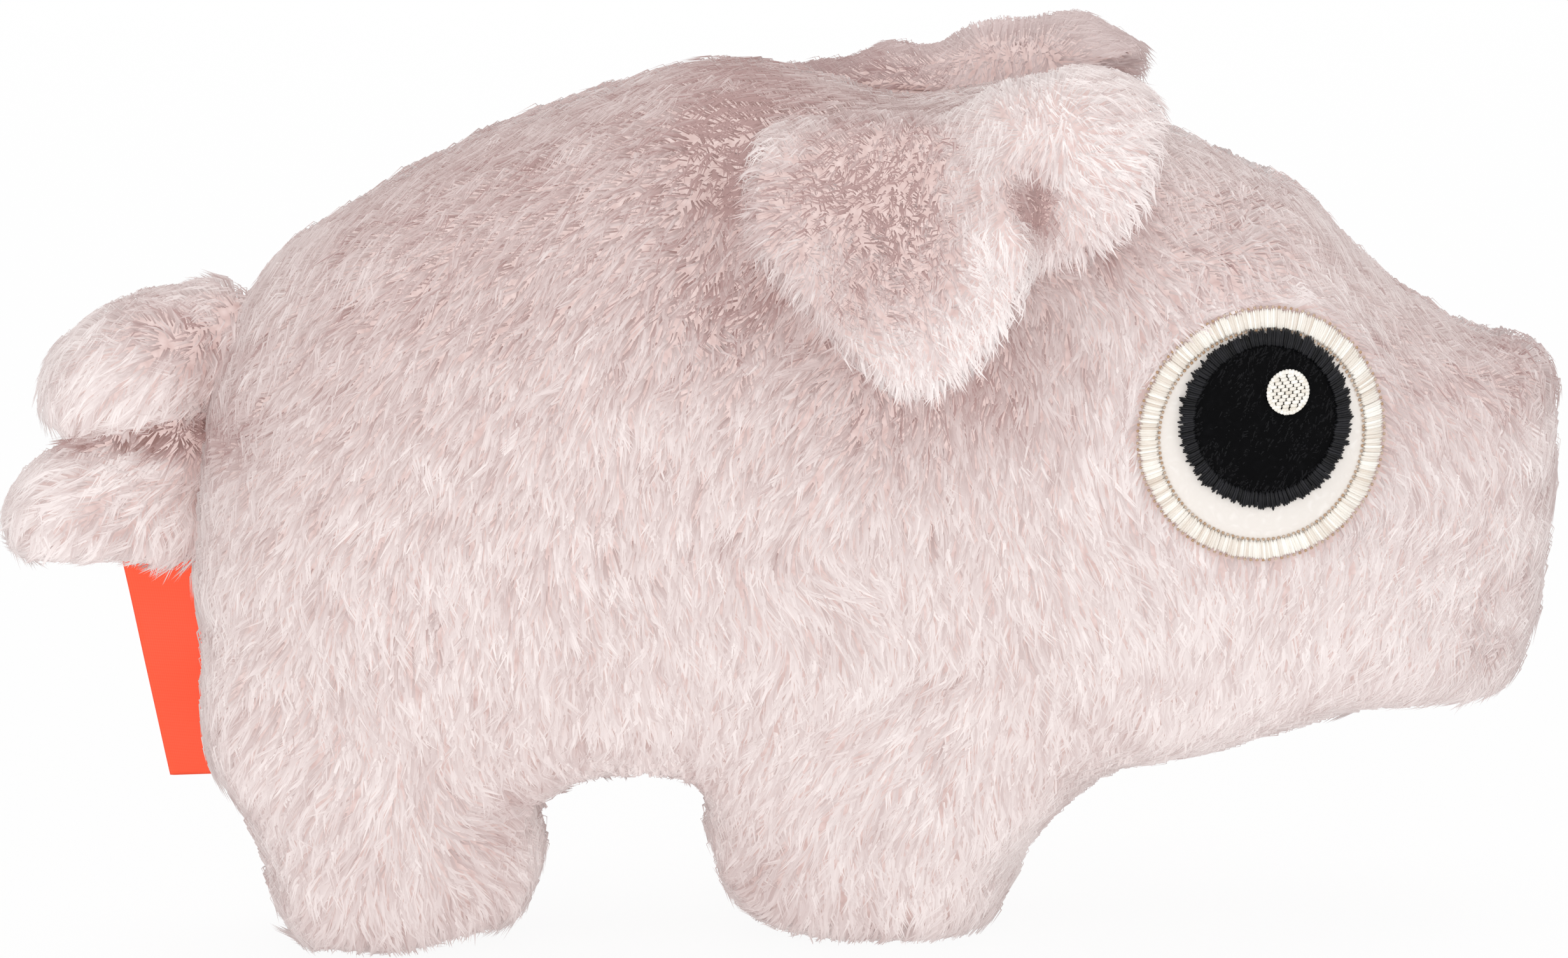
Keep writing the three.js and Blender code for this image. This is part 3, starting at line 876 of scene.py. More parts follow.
class NodeBook:
    """Builds node trees with few words."""

    def __init__(self, tree: bpy.types.NodeTree) -> None:
        """Starts on an empty or new tree."""
        self.tree = tree

    def add(self, kind: str, **values: object) -> bpy.types.Node:
        """Adds a node and sets its properties."""
        node = self.tree.nodes.new(kind)
        for name, value in values.items():
            setattr(node, name, value)
        return node

    def link(self, source: bpy.types.NodeSocket, target: bpy.types.NodeSocket) -> None:
        """Joins two sockets."""
        self.tree.links.new(source, target)

    def feed(self, socket: bpy.types.NodeSocket, value: object) -> None:
        """Joins an input to another socket, or sets its number or colour."""
        if isinstance(value, bpy.types.NodeSocket):
            self.link(value, socket)
        else:
            socket.default_value = value

    def fill(self, node: bpy.types.Node, **values: object) -> bpy.types.Node:
        """Feeds a node's inputs by name; underscores stand for spaces."""
        for name, value in values.items():
            self.feed(node.inputs[name.replace("_", " ")], value)
        return node

    def math(self, operation: str, first: object, second: object) -> bpy.types.NodeSocket:
        """A sum of two numbers or sockets.

        Args:
            operation: Blender's name for the kind of sum.
            first: A number or a socket.
            second: A number or a socket.

        Returns:
            The socket with the result.
        """
        node = self.add("ShaderNodeMath", operation=operation)
        self.feed(node.inputs[0], first)
        self.feed(node.inputs[1], second)
        return node.outputs[0]

    def mix(self, share: object, first: object, second: object) -> bpy.types.NodeSocket:
        """A colour between two colours.

        Args:
            share: How far it is to the second one, from 0 to 1.
            first: A colour or a socket.
            second: A colour or a socket.

        Returns:
            The socket with the result.
        """
        node = self.add("ShaderNodeMix", data_type="RGBA")
        for number, value in ((0, share), (6, first), (7, second)):
            self.feed(node.inputs[number], value)
        return node.outputs[2]

    def bump(self, height: bpy.types.NodeSocket, strength: float, distance: float) -> bpy.types.NodeSocket:
        """Shading from a height.

        Args:
            height: The socket with the height, from 0 to 1.
            strength: How much of it is used.
            distance: How many metres a height of 1 stands for.

        Returns:
            The socket with the normal.
        """
        node = self.fill(self.add("ShaderNodeBump"), Strength=strength, Distance=distance, Height=height)
        return node.outputs["Normal"]

    def chart(self) -> tuple[bpy.types.NodeSocket, bpy.types.NodeSocket]:
        """The two numbers of the piece's map."""
        split = self.add("ShaderNodeSeparateXYZ")
        self.link(self.add("ShaderNodeUVMap", uv_map=CHART).outputs["UV"], split.inputs[0])
        return split.outputs[0], split.outputs[1]

    def seen(self) -> bpy.types.NodeSocket:
        """1 where the camera looks, also by way of gloss or glass, and 0 for all other light."""
        path = self.add("ShaderNodeLightPath").outputs
        straight = self.math("MAXIMUM", path["Is Camera Ray"], path["Is Glossy Ray"])
        return self.math("MAXIMUM", straight, path["Is Transmission Ray"])


def new_group(name: str, inputs: dict[str, object], outputs: dict[str, str]) -> tuple[NodeBook, dict, dict]:
    """Starts a shader node group with named sockets.

    Args:
        name: The group's name.
        inputs: Each input's name with its first value; a tuple is a colour.
        outputs: Each output's name with its socket type.

    Returns:
        The book to build it with, its input sockets and its output sockets by name.
    """
    tree = bpy.data.node_groups.new(name, "ShaderNodeTree")
    for title, value in inputs.items():
        kind = "NodeSocketColor" if isinstance(value, tuple) else "NodeSocketFloat"
        socket = tree.interface.new_socket(name=title, in_out="INPUT", socket_type=kind)
        socket.default_value = value
    for title, kind in outputs.items():
        tree.interface.new_socket(name=title, in_out="OUTPUT", socket_type=kind)
    book = NodeBook(tree)
    entry, leaving = book.add("NodeGroupInput"), book.add("NodeGroupOutput")
    return book, {s.name: s for s in entry.outputs}, {s.name: s for s in leaving.inputs}


def new_material(name: str) -> tuple[bpy.types.Material, NodeBook, bpy.types.Node]:
    """Starts a material with its shader.

    Args:
        name: The material's name.

    Returns:
        The material, the book to build it with, and its Principled node.
    """
    material = bpy.data.materials.new(name)
    material.use_nodes = True
    shader = material.node_tree.nodes["Principled BSDF"]
    return material, NodeBook(material.node_tree), shader


def placed(book: NodeBook, group: str, **values: object) -> bpy.types.Node:
    """Places a group in a material and feeds its inputs."""
    return book.fill(book.add("ShaderNodeGroup", node_tree=bpy.data.node_groups[group]), **values)


def build_groups() -> None:
    """Builds the effects that several finishes share."""
    black = linear(0, 0, 0)  # until a finish gives its own
    colour, relief = {"Colour": "NodeSocketColor"}, {"Height": "NodeSocketFloat"}

    book, into, out = new_group(
        "strand colour",
        {"Shade": 0.5, "Along": 0.5, "Root Dark": black, "Root Light": black, "Tip Dark": black,
         "Tip Light": black},
        colour,
    )
    root = book.mix(into["Shade"], into["Root Dark"], into["Root Light"])
    tip = book.mix(into["Shade"], into["Tip Dark"], into["Tip Light"])
    # the root end is darker: painted shade among the strands
    rise = book.math("SUBTRACT", 1.0, book.math("POWER", book.math("SUBTRACT", 1.0, into["Along"]), 2.6))
    book.link(book.mix(rise, root, tip), out["Colour"])

    book, into, out = new_group(
        "knit backing", {"Rows": 900.0, "Depth": 0.5, "Dark": black, "Light": black}, colour | relief)
    spot = book.add("ShaderNodeTexCoord").outputs["Object"]
    loops = book.fill(book.add("ShaderNodeTexVoronoi", feature="F1"), Vector=spot, Scale=into["Rows"])
    cloud = book.fill(book.add("ShaderNodeTexNoise"), Vector=spot, Scale=120, Detail=3)
    blend = book.math("ADD", book.math("MULTIPLY", loops.outputs["Distance"], 0.6),
                      book.math("MULTIPLY", cloud.outputs["Fac"], 0.5))
    book.link(book.mix(blend, into["Light"], into["Dark"]), out["Colour"])
    book.link(book.math("MULTIPLY", loops.outputs["Distance"], into["Depth"]), out["Height"])

    book, into, out = new_group(
        "fibre fluff", {"Scale": 400.0, "Dark": black, "Light": black}, colour | relief)
    spot = book.add("ShaderNodeTexCoord").outputs["Object"]
    fluff = book.add("ShaderNodeTexNoise", noise_type="RIDGED_MULTIFRACTAL")
    book.fill(fluff, Vector=spot, Scale=into["Scale"], Detail=5, Distortion=0.6)
    book.link(book.mix(fluff.outputs["Fac"], into["Dark"], into["Light"]), out["Colour"])
    book.link(fluff.outputs["Fac"], out["Height"])


@dataclass(frozen=True)
class PileFinish:
    """Dyed pile: what a strand shows from its root to its tip, in its darkest and lightest shade; its darker
    root end is painted shade among the strands, which cast no shadow.
    """

    name: str
    root_dark: Shade
    root_light: Shade
    tip_dark: Shade
    tip_light: Shade
    # the knit is darker than the pile's tips, like the roots: painted shade under the pile
    knit_dark: Shade = (198, 168, 163)
    knit_light: Shade = (238, 219, 215)
    roughness: float = 0.7
    sheen: float = 0.35
    gloss: float = 0.25

    def strands(self) -> bpy.types.Material:
        """The material of the strands."""
        material, book, shader = new_material(f"{self.name}_strands")
        shade, along = book.chart()
        colour = placed(
            book, "strand colour", Shade=shade, Along=along,
            Root_Dark=linear(*self.root_dark), Root_Light=linear(*self.root_light),
            Tip_Dark=linear(*self.tip_dark), Tip_Light=linear(*self.tip_light),
        )
        book.fill(
            shader, Base_Color=colour.outputs["Colour"], Roughness=self.roughness,
            Sheen_Weight=self.sheen, Sheen_Roughness=0.45, Specular_IOR_Level=self.gloss,
        )
        return material

    def backing(self) -> bpy.types.Material:
        """The material of the knitted backing that the pile stands in."""
        material, book, shader = new_material(f"{self.name}_backing")
        knit = placed(book, "knit backing", Dark=linear(*self.knit_dark), Light=linear(*self.knit_light))
        book.fill(
            shader, Base_Color=knit.outputs["Colour"], Roughness=0.9, Sheen_Weight=0.2,
            Normal=book.bump(knit.outputs["Height"], 0.4, 0.3 * MM),
        )
        return material


PINK_PILE = PileFinish("pink_pile", (138, 102, 96), (224, 201, 197), (174, 143, 140), (247, 238, 236))
# a darker, greyer copy of the pink pile for the far ear: painted shade, as that ear lies behind the head
SHADED_FAR_EAR_PILE = PileFinish("greyed_pile", (140, 106, 101), (204, 180, 177), (168, 138, 136), (224, 208, 206))


# Body


@dataclass(frozen=True)
class Fold:
    """A crease pressed into the stuffed shell, in millimetres on the side view."""

    start: Pair
    end: Pair
    width: float
    depth: float

    def press(self, places: np.ndarray) -> np.ndarray:
        """How far the crease presses the shell in.

        Args:
            places: Rows of x, y, z.

        Returns:
            A depth in metres for each place.
        """
        side = places[:, [0, 2]] / MM
        a, b = np.array(self.start), np.array(self.end)
        along = ((side - a) @ (b - a)) / max(float((b - a) @ (b - a)), 1e-9)
        nearest = a + along.clip(0, 1)[:, None] * (b - a)
        apart = np.linalg.norm(side - nearest, axis=1) / self.width
        return self.depth * MM * np.exp(-(apart**2))


def pressed(places: np.ndarray, folds: Iterable[Fold]) -> np.ndarray:
    """How far the folds press each place in, taken together, in metres."""
    return sum((fold.press(places) for fold in folds), np.zeros(len(places)))


@dataclass
class StuffedBody:
    """Trunk, head and legs: one shell of pile fabric round the fibre filling."""

    voxel: float = 3.0 * MM
    pile_depth: float = 1.9 * MM  # the backing lies this far inside the pile's surface
    start_inset: float = 3.6 * MM  # how far inside it the backing starts before the filling swells it
    swell_cap: float = 3.0 * MM  # the furthest that it swells
    seam_half_width: float = 2.2 * MM
    swell_frames: int = 20
    backing_thickness: float = 0.8 * MM
    skins: tuple[str, ...] = ("trunk_skin", "head_skin", "hind_leg_skin", "front_leg_skin")
    folds: list[Fold] = field(default_factory=lambda: many(
        Fold,
        ((-47, 18), (-36, 18.5), 3.0, 1.3), ((-33.5, 18.5), (-32.5, 15), 2.5, 0.4),
        ((-73, 50), (-72, 28), 5.0, -1.8), ((-47, 0), (-36, 1.5), 4.0, 1.6),
        ((-38, 106), (-20, 112.8), 7.0, 1.8), ((-67, 8), (-65, 3), 3.5, -1.3),
        ((-9.5, 15), (-8, 8), 3.5, -1.6), ((31, 12), (39, 21), 4.0, 0.5),
        ((2, 52.5), (11, 45.5), 3.5, 1.1), ((93, 38), (94.5, 38), 3.5, 1.0),
        ((-7, 107), (-5, 102), 3.5, 1.6), ((57, 103), (63, 100), 4.0, 0.6),
        ((69, 96.5), (79, 89.5), 6.0, -1.3), ((88, 80), (92, 78), 3.2, 0.9),
        ((97.5, 76.5), (101, 73.5), 3.2, -1.5),
    ))
    brushing: Brushing = field(default_factory=lambda: Brushing(
        combs=many(
            Comb,
            (-10, 111, 80), (-31, 105, 65), (-46, 102.5, 55), (-60, 95.5, 48), (-52, 88.5, 45),
            (-36, 90.5, 40), (-21, 95.5, 42), (-10, 86.5, 28), (-64, 73.5, 55), (-73, 71.5, 80),
            (-70, 56.5, 40), (-73, 42.5, 40), (-57, 67.5, 38), (-42, 71.5, 28), (-42, 51.5, 8),
            (-57, 46.5, 12), (-21, 67.5, 8), (-21, 51.5, -8), (-5, 67.5, 18), (2, 66.5, 40),
            (6, 50.5, -45), (16, 56.5, -3), (26, 51.5, 0), (40, 52.5, -20), (21, 71.5, 5), (5, 77.5, 40),
            (36, 82.5, 3), (42, 71.5, -8), (36, 92.5, -35), (45, 98.5, -50), (64, 92, -50), (76, 87, -60),
            (87, 82, -62), (80, 76, -35), (83, 66, -20), (87, 51, 35), (77, 45, 30), (68, 50, 5),
            (54, 49.5, 3), (45, 55.5, -35), (40, 63.5, -12), (62, 40, 5), (42, 36.5, 10), (83, 38, 18),
            (99, 58, 5), (17, 32.5, 38), (7, 24.5, 40), (2, 16.5, 20), (-5, 12.5, 50), (7, 11.5, 0),
            (29, 18.5, 0), (-65, 29.5, 35), (-60, 21.5, 30), (-54, 38.5, -5), (-40, 18.5, -60),
            (-62, 10.5, 30), (-52, 8.5, -10), (-39, 36.5, 5), (-21, 36.5, 0), (0, 37.5, 10),
            (15, 112, 75), (40, 108, 60), (-76, 91.5, 60),
        ),
        ruffles=many(
            Ruffle,
            (58, 95, 9, 0.7), (-8, 87, 7, 0.6), (13, 76, 7, 0.4), (95.5, 74.5, 6.5, 0.7),
            (-7, 105.5, 5.5, 0.85), (-71, 71, 4, 0.6), (92, 40, 4, 0.5), (-40, 18.5, 5, 0.4),
            (-4, 12, 4, 0.4), (-22, 50.5, 3, 0.3), (35, 98, 5, 0.7),
        ),
        # darker over the top of the back and head, beside and under the ears, in the leg creases, on the
        # snout's top and at the rump by the tail: painted shade, partly the pile's rubbed tone; lighter on
        # the lower body and undersides: painted light
        tints=many(
            ToneAndShadingPatch,
            (-30, 106, 24, -0.3), (10, 112, 24, -0.3), (-48, 92, 18, -0.16), (-62, 74, 14, -0.1),
            (-7, 90, 9, -0.12), (-6, 105, 6, -0.4), (24, 80, 12, -0.38), (35, 77, 9, -0.1),
            (43, 96, 5.5, -0.3), (-76, 74, 9, -0.25), (0, 72, 9, -0.1), (-2, 112, 7, -0.25),
            (-75, 88, 8, -0.25), (-2, 89, 6, -0.15), (78, 72, 7, -0.12), (46, 69, 8, 0.15),
            (53, 30, 8, 0.1), (-36, 16, 4, 0.25), (28, 13, 6, 0.2), (18, 6, 6, 0.15),
            (34.5, 99, 4.5, -0.6), (58, 98, 9, 0.08), (84, 76, 12, -0.17), (-12, 60, 9, -0.06),
            (-20, 35, 45, 0.04), (70, 35, 30, 0.06), (20, 30, 25, 0.03), (-40, 18.5, 6, -0.12),
            (-4, 14, 5, -0.06),
        ),
        # calm patches, where less of the roots' painted shade shows
        calms=many(
            ToneAndShadingPatch,
            (76, 62, 24, 0.6), (80, 42, 20, 0.6), (14, 20, 18, 0.5), (-52, 18, 16, 0.3),
            (48, 44, 20, 0.4), (-10, 35, 22, 0.25), (40, 76, 14, 0.3),
        ),
    ))
    pile: Pile = Pile(density=2.85, length=5.4, lift=2.1, width=0.17, lock=1.25, draw=0.4, light=0.62)

    def shell(self) -> bpy.types.Object:
        """The stuffed shell's outer surface: fused, swollen by its filling, and creased.

        Returns:
            The object whose surface is the fabric's backing.
        """
        piece = joined_nodes("body_shell", [*self.skins, "fibre_filling"])
        remeshed(piece, self.voxel)
        packed = BVHTree.FromObject(piece, bpy.context.evaluated_depsgraph_get())
        relaxed(piece, 5)
        fitted(piece, packed, 0.0, 3, 2 * MM)
        surface = places_of(piece.data)
        start = surface - normals_of(piece.data) * self.start_inset
        move_to(piece.data, start)
        self.swell(piece, surface[:, 1])
        moved = places_of(piece.data) - start
        far = np.linalg.norm(moved, axis=1, keepdims=True)
        moved = moved * np.minimum(1, self.swell_cap / np.maximum(far, 1e-9))
        move_to(piece.data, start + moved)
        relaxed(piece, 2)
        fitted(piece, packed, self.pile_depth, 8, 2 * MM)
        subdivided(piece)
        self.crease(piece)
        return piece

    def swell(self, piece: bpy.types.Object, side: np.ndarray) -> None:
        """Lets pressure from inside round the shell out, while its seam holds.

        Args:
            piece: The shell, which the simulation changes.
            side: How far each vertex lies from the middle plane.
        """
        hold = piece.vertex_groups.new(name="seam")
        hold.add(np.flatnonzero(np.abs(side) < self.seam_half_width).tolist(), 1.0, "REPLACE")
        cloth = piece.modifiers.new("swell", "CLOTH")
        fabric = cloth.settings
        fabric.quality = 5
        fabric.mass = 0.3
        fabric.tension_stiffness = fabric.compression_stiffness = 12
        fabric.shear_stiffness = 4
        fabric.bending_stiffness = 0.6
        fabric.use_pressure = True
        fabric.uniform_pressure_force = 4
        fabric.effector_weights.gravity = 0
        fabric.vertex_group_mass = "seam"
        cloth.point_cache.frame_start, cloth.point_cache.frame_end = 1, self.swell_frames
        for step in range(1, self.swell_frames + 1):
            bpy.context.scene.frame_set(step)
        applied(piece)
        piece.vertex_groups.clear()
        bpy.context.scene.frame_set(1)

    def crease(self, piece: bpy.types.Object) -> None:
        """Presses the folds, the seam and the uneven filling into the shell.

        Args:
            piece: The shell, which is changed.
        """
        places, normals = places_of(piece.data), normals_of(piece.data)
        deep = pressed(places, self.folds)
        deep += 0.5 * MM * Drift(11, 22 * MM).at(places)  # the filling's lumps
        deep += 0.7 * MM * np.exp(-((places[:, 1] / (1.6 * MM)) ** 2))  # the seam
        low = 0.15 + 0.85 * (1 - smoothstep(places[:, 2], 8 * MM, 16 * MM))
        deep -= 1.0 * MM * low * smoothstep(-normals[:, 2], 0.3, 0.9)  # the feet's pile is pressed flat
        places = places - normals * deep[:, None]
        places[:, 2] = np.maximum(places[:, 2], 0.35 * MM)
        move_to(piece.data, places)

    def build(self, eyes: list["Eye"]) -> None:
        """Makes the fabric shell, its filling and its pile.

        Args:
            eyes: The eyes, which the shell comes up to and the pile leaves bare.
        """
        shell = self.shell()
        for eye in eyes:
            eye.seat(shell)
        fill = object_from("fibre_fill", shell.data.copy())
        places = places_of(fill.data)
        lumps = 0.3 * MM * Drift(17, 6 * MM).at(places)[:, None]
        depth = self.backing_thickness + 0.5 * MM + lumps
        move_to(fill.data, places - normals_of(fill.data) * depth)
        fill.data.materials.append(fibre_material())
        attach(fill, "root")
        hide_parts("fibre_filling")

        def bare_eyes(root: np.ndarray, normal: np.ndarray) -> np.ndarray:
            """Whether each strand's root is clear of the eyes."""
            return np.all([eye.outside(root) for eye in eyes], axis=0)

        self.brushing.parted = (*(eyes[0].middle / MM), eyes[0].diameter / 2 / MM)
        strands = Strands(
            shell, self.brushing, self.pile, seed=101, keep=bare_eyes, glow=(0, 0, 0.35), lean=0.8)
        strands.plant("body_pile", "root", PINK_PILE.strands())
        thickened(shell, self.backing_thickness, -1)
        shell.data.materials.append(PINK_PILE.backing())
        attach(shell, "root")
        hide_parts(*self.skins)
        log.info("body_shell: %d faces", len(shell.data.polygons))


def fibre_material() -> bpy.types.Material:
    """Loose white polyester fibre."""
    material, book, shader = new_material("fibre")
    fluff = placed(book, "fibre fluff", Scale=260.0, Dark=linear(225, 222, 216), Light=linear(248, 247, 244))
    normal = book.bump(fluff.outputs["Height"], 0.5, 0.8 * MM)
    book.fill(shader, Base_Color=fluff.outputs["Colour"], Roughness=0.95, Normal=normal)
    return material


# Eyes


def thread_material(
    name: str, dark: Shade, light: Shade, roughness: float, gloss: float = 0.5,
) -> bpy.types.Material:
    """Shiny embroidery thread.

    Args:
        name: The material's name.
        dark: Its darkest shade, painted shade in the furrows between fibres.
        light: Its lightest shade, on the fibres; on black thread it paints sheen.
        roughness: How matt it is.
        gloss: How strongly it mirrors light.

    Returns:
        The material, which takes its shade from the piece's map.
    """
    material, book, shader = new_material(name)
    colour = book.mix(book.chart()[0], linear(*dark), linear(*light))
    book.fill(shader, Base_Color=colour, Roughness=roughness, Specular_IOR_Level=gloss)
    return material


@dataclass
class Eye:
    """One embroidered eye: felt, two satin-stitched borders, a pile disc and a stitched highlight."""

    side: Side
    diameter: float = 32 * MM
    border: float = 2.5 * MM
    pupil: float = 22.6 * MM
    pupil_border: float = 2.1 * MM
    highlight: float = 5.6 * MM
    sunk: float = 0.9 * MM  # how far the felt lies under the pile's surface
    pupil_shift: Pair = (0.5 * MM, 2.2 * MM)
    highlight_shift: Pair = (3.5 * MM, 5.5 * MM)

    def __post_init__(self) -> None:
        """Finds the eye's middle and the dome of cheek under it."""
        low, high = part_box(self.node("white_border"))
        self.middle = np.array([(low.x + high.x) / 2, (low.z + high.z) / 2])
        places = places_of(frame["nodes"][self.node("white")].data)
        table = self.terms(places[:, [0, 2]] - self.middle)
        self.dome, *_ = np.linalg.lstsq(table, np.abs(places[:, 1]), rcond=None)

    def node(self, part: str) -> str:
        """The CAD node of one of the eye's parts."""
        return f"{self.side.name.lower()}_eye_{part}"

    @staticmethod
    def terms(spread: np.ndarray) -> np.ndarray:
        """The terms of a gentle dome.

        Args:
            spread: Offsets along x and z from its middle, in metres.

        Returns:
            Six numbers for each offset.
        """
        x, z = spread[:, 0], spread[:, 1]
        return np.stack([np.ones_like(x), x, z, x * x, x * z, z * z], 1)

    def place(self, spread: np.ndarray, lift: np.ndarray | float) -> np.ndarray:
        """Places on the felt, from offsets in the side view.

        Args:
            spread: Offsets along x and z from the eye's middle.
            lift: How far out from the felt's back each one lies.

        Returns:
            Rows of x, y, z.
        """
        depth = self.terms(spread) @ self.dome - 0.4 * MM - self.sunk + lift
        return np.stack([
            self.middle[0] + spread[:, 0], self.side.value * depth, self.middle[1] + spread[:, 1],
        ], 1)

    def outside(self, places: np.ndarray) -> np.ndarray:
        """Whether places are clear of this eye.

        Args:
            places: Rows of x, y, z.

        Returns:
            True or False for each place.
        """
        apart = np.linalg.norm(places[:, [0, 2]] - self.middle, axis=1)
        return ~self.beside(places) | (apart > self.diameter / 2 - 0.2 * MM)

    def beside(self, places: np.ndarray) -> np.ndarray:
        """Whether each place is on this eye's side of the toy."""
        return places[:, 1] * self.side.value >= 5 * MM

    def seat(self, shell: bpy.types.Object) -> None:
        """Brings the shell up to the back of the felt.

        Args:
            shell: The stuffed shell, which is changed.
        """
        places = places_of(shell.data)
        spread = places[:, [0, 2]] - self.middle
        apart = np.linalg.norm(spread, axis=1)
        blend = 1 - ((apart - self.diameter / 2) / (3.5 * MM)).clip(0, 1)
        blend = np.where(self.beside(places), blend * blend * (3 - 2 * blend), 0)
        seat = self.place(spread, -0.35 * MM)[:, 1]
        places[:, 1] += (seat - places[:, 1]) * blend
        move_to(shell.data, places)

    def disc(
        self, name: str, centre: Pair, radius: float, lift: float, thickness: float,
    ) -> bpy.types.Object:
        """A thin domed disc that lies on the cheek.

        Args:
            name: The piece's name.
            centre: Its middle, from the eye's middle.
            radius: Its radius.
            lift: Its back's height over the felt's back.
            thickness: Its thickness.

        Returns:
            The object.
        """
        shape = sphere(96, 24)
        points = points_of(shape)
        share = np.linalg.norm(points[:, :2], axis=1)
        spread = points[:, :2] * radius + np.array(centre)
        rounded = (1 - share.clip(0, 1) ** 8) ** 0.5
        rise = lift + thickness / 2 + np.sign(points[:, 2]) * rounded * thickness / 2
        bend_to(shape, self.place(spread, rise))
        bmesh.ops.recalc_face_normals(shape, faces=shape.faces)
        return finished(name, shape)

    def stitched(
        self, name: str, starts: np.ndarray, ends: np.ndarray, lift: float, arch: np.ndarray, width: float,
        shades: np.ndarray,
    ) -> bpy.types.Object:
        """Lays one bowed thread for each stitch.

        Args:
            name: The piece's name.
            starts: Where each stitch starts, from the eye's middle.
            ends: Where it ends.
            lift: The cloth's height over the felt's back.
            arch: How far each stitch bows out at its middle.
            width: The thread's width.
            shades: Each stitch's shade, from 0 to 1.

        Returns:
            The object, whose map holds the shade and the place along the stitch.
        """
        shape = bmesh.new()
        bmesh.ops.create_cone(shape, cap_ends=True, segments=5, radius1=1, radius2=1, depth=1)
        points, triangles = cut_up(shape, (-0.36, 0.0, 0.36))
        if self.side is Side.NEAR:
            triangles = triangles[:, ::-1]

        way = points[:, 2] + 0.5
        run = ends - starts
        across = unit(np.stack([-run[:, 1], run[:, 0]], 1))
        girth = np.where((way < 0.05) | (way > 0.95), 0.4, 1.0) * width / 2
        spread = starts[:, None] + run[:, None] * way[:, None]
        spread = spread + across[:, None] * (points[:, 0] * girth)[:, None]
        bow = (1 - (2 * way - 1) ** 4)[None] * arch[:, None]
        rise = lift + bow + (points[:, 1] * girth)[None] * 0.9
        places = self.place(spread.reshape(-1, 2), rise.reshape(-1))
        tone = shades.clip(0.05, 0.95)[:, None] + 0.04 * points[:, 0]
        chart = np.stack([tone, np.broadcast_to(0.02 + 0.96 * way, tone.shape)], 2).reshape(-1, 2)
        triangles = repeated(triangles, len(starts), len(points))
        return object_from(name, mesh_from(name, places, triangles, chart))

    def ring(
        self, name: str, centre: Pair, radius: float, width: float, lift: float,
        ragged: float, pitch: float, seed: int, tone: Pair, holes: float = 0.0,
    ) -> bpy.types.Object:
        """A satin-stitched border round a disc.

        Args:
            name: The piece's name.
            centre: The disc's middle, from the eye's middle.
            radius: The border's outer radius.
            width: The border's width.
            lift: The cloth's height over the felt's back.
            ragged: How unevenly the stitches end outside.
            pitch: How far apart the stitches are.
            seed: What the random draw starts from.
            tone: The stitches' middle shade, and how far they stray from it.
            holes: How far apart the needle holes at both edges are, or 0 for none; each is a dark dot of
                painted shade.

        Returns:
            The object.
        """
        draw = np.random.default_rng(seed)
        count = int(FULL_TURN * (radius - width / 2) / pitch)
        angle = np.arange(count) / count * FULL_TURN + draw.normal(0, 0.1, count) * FULL_TURN / count
        lean = 0.7 * pitch / radius
        inner = radius - width + draw.normal(0, 0.07 * MM, count)
        outer = radius + draw.normal(0, ragged, count)
        pair = np.where(np.arange(count) % 2 == 0, 0.14, -0.14) * FULL_TURN / count
        starts = on_circle(angle + pair) * inner[:, None]
        ends = on_circle(angle + lean) * outer[:, None]
        arch = 0.42 * MM * (1 + 0.06 * draw.normal(size=count).clip(-2, 2))
        # each stitch's shade strays at random; the spread also paints shade between the threads and sheen on
        # them
        shades = tone[0] + tone[1] * draw.normal(size=count).clip(-2, 2)
        # needle holes: tiny flat stitches in the thread's darkest shade, painted shade in the dimples
        if holes:
            around = on_circle(np.arange(0, FULL_TURN, holes / radius))
            for edge in (radius - width - 0.3 * MM, radius - 0.02 * MM):
                spot = around * edge
                starts = np.concatenate([starts, spot])
                ends = np.concatenate([ends, spot * (1 + 0.36 * MM / edge)])
                arch = np.concatenate([arch, np.full(len(spot), 0.02 * MM)])
                shades = np.concatenate([shades, 0.15 + 0.1 * draw.normal(size=len(spot)).clip(-1, 2)])
        offset = np.array(centre)
        return self.stitched(name, starts + offset, ends + offset, lift, arch, pitch * 1.4, shades)

    def filled(self, name: str, lift: float) -> bpy.types.Object:
        """The highlight: rows of short stitches inside a thin border.

        Args:
            name: The piece's name.
            lift: The pile disc's height over the felt's back.

        Returns:
            The object.
        """
        draw = np.random.default_rng(61)
        radius, pitch, stitch = self.highlight / 2, 0.42 * MM, 1.05 * MM
        starts, ends = [], []
        rows = int(2 * radius / pitch)
        for row in range(rows):
            height = (row + 0.5) * pitch - radius
            half = math.sqrt(max(radius**2 - height**2, 0)) - 0.3 * MM
            if half < 0.4 * MM:
                continue
            at = -half - (row % 2) / 2 * stitch
            while at < half:
                left, right = max(at, -half), min(at + stitch - 0.1 * MM, half)
                if right - left > 0.3 * MM:
                    starts.append((left, height))
                    ends.append((right, height + 0.05 * MM))
                at += stitch
        count = int(FULL_TURN * radius / (0.45 * MM))
        edge = on_circle(np.arange(count) / count * FULL_TURN)
        starts = np.concatenate([np.array(starts), edge * (radius - 0.55 * MM)])
        ends = np.concatenate([np.array(ends), edge * (radius + 0.05 * MM)])
        offset = np.array(self.highlight_shift)
        arch = np.full(len(starts), 0.16 * MM)
        shades = 0.6 + 0.2 * draw.normal(size=len(starts)).clip(-2, 2)
        return self.stitched(name, starts + offset, ends + offset, lift, arch, 0.5 * MM, shades)

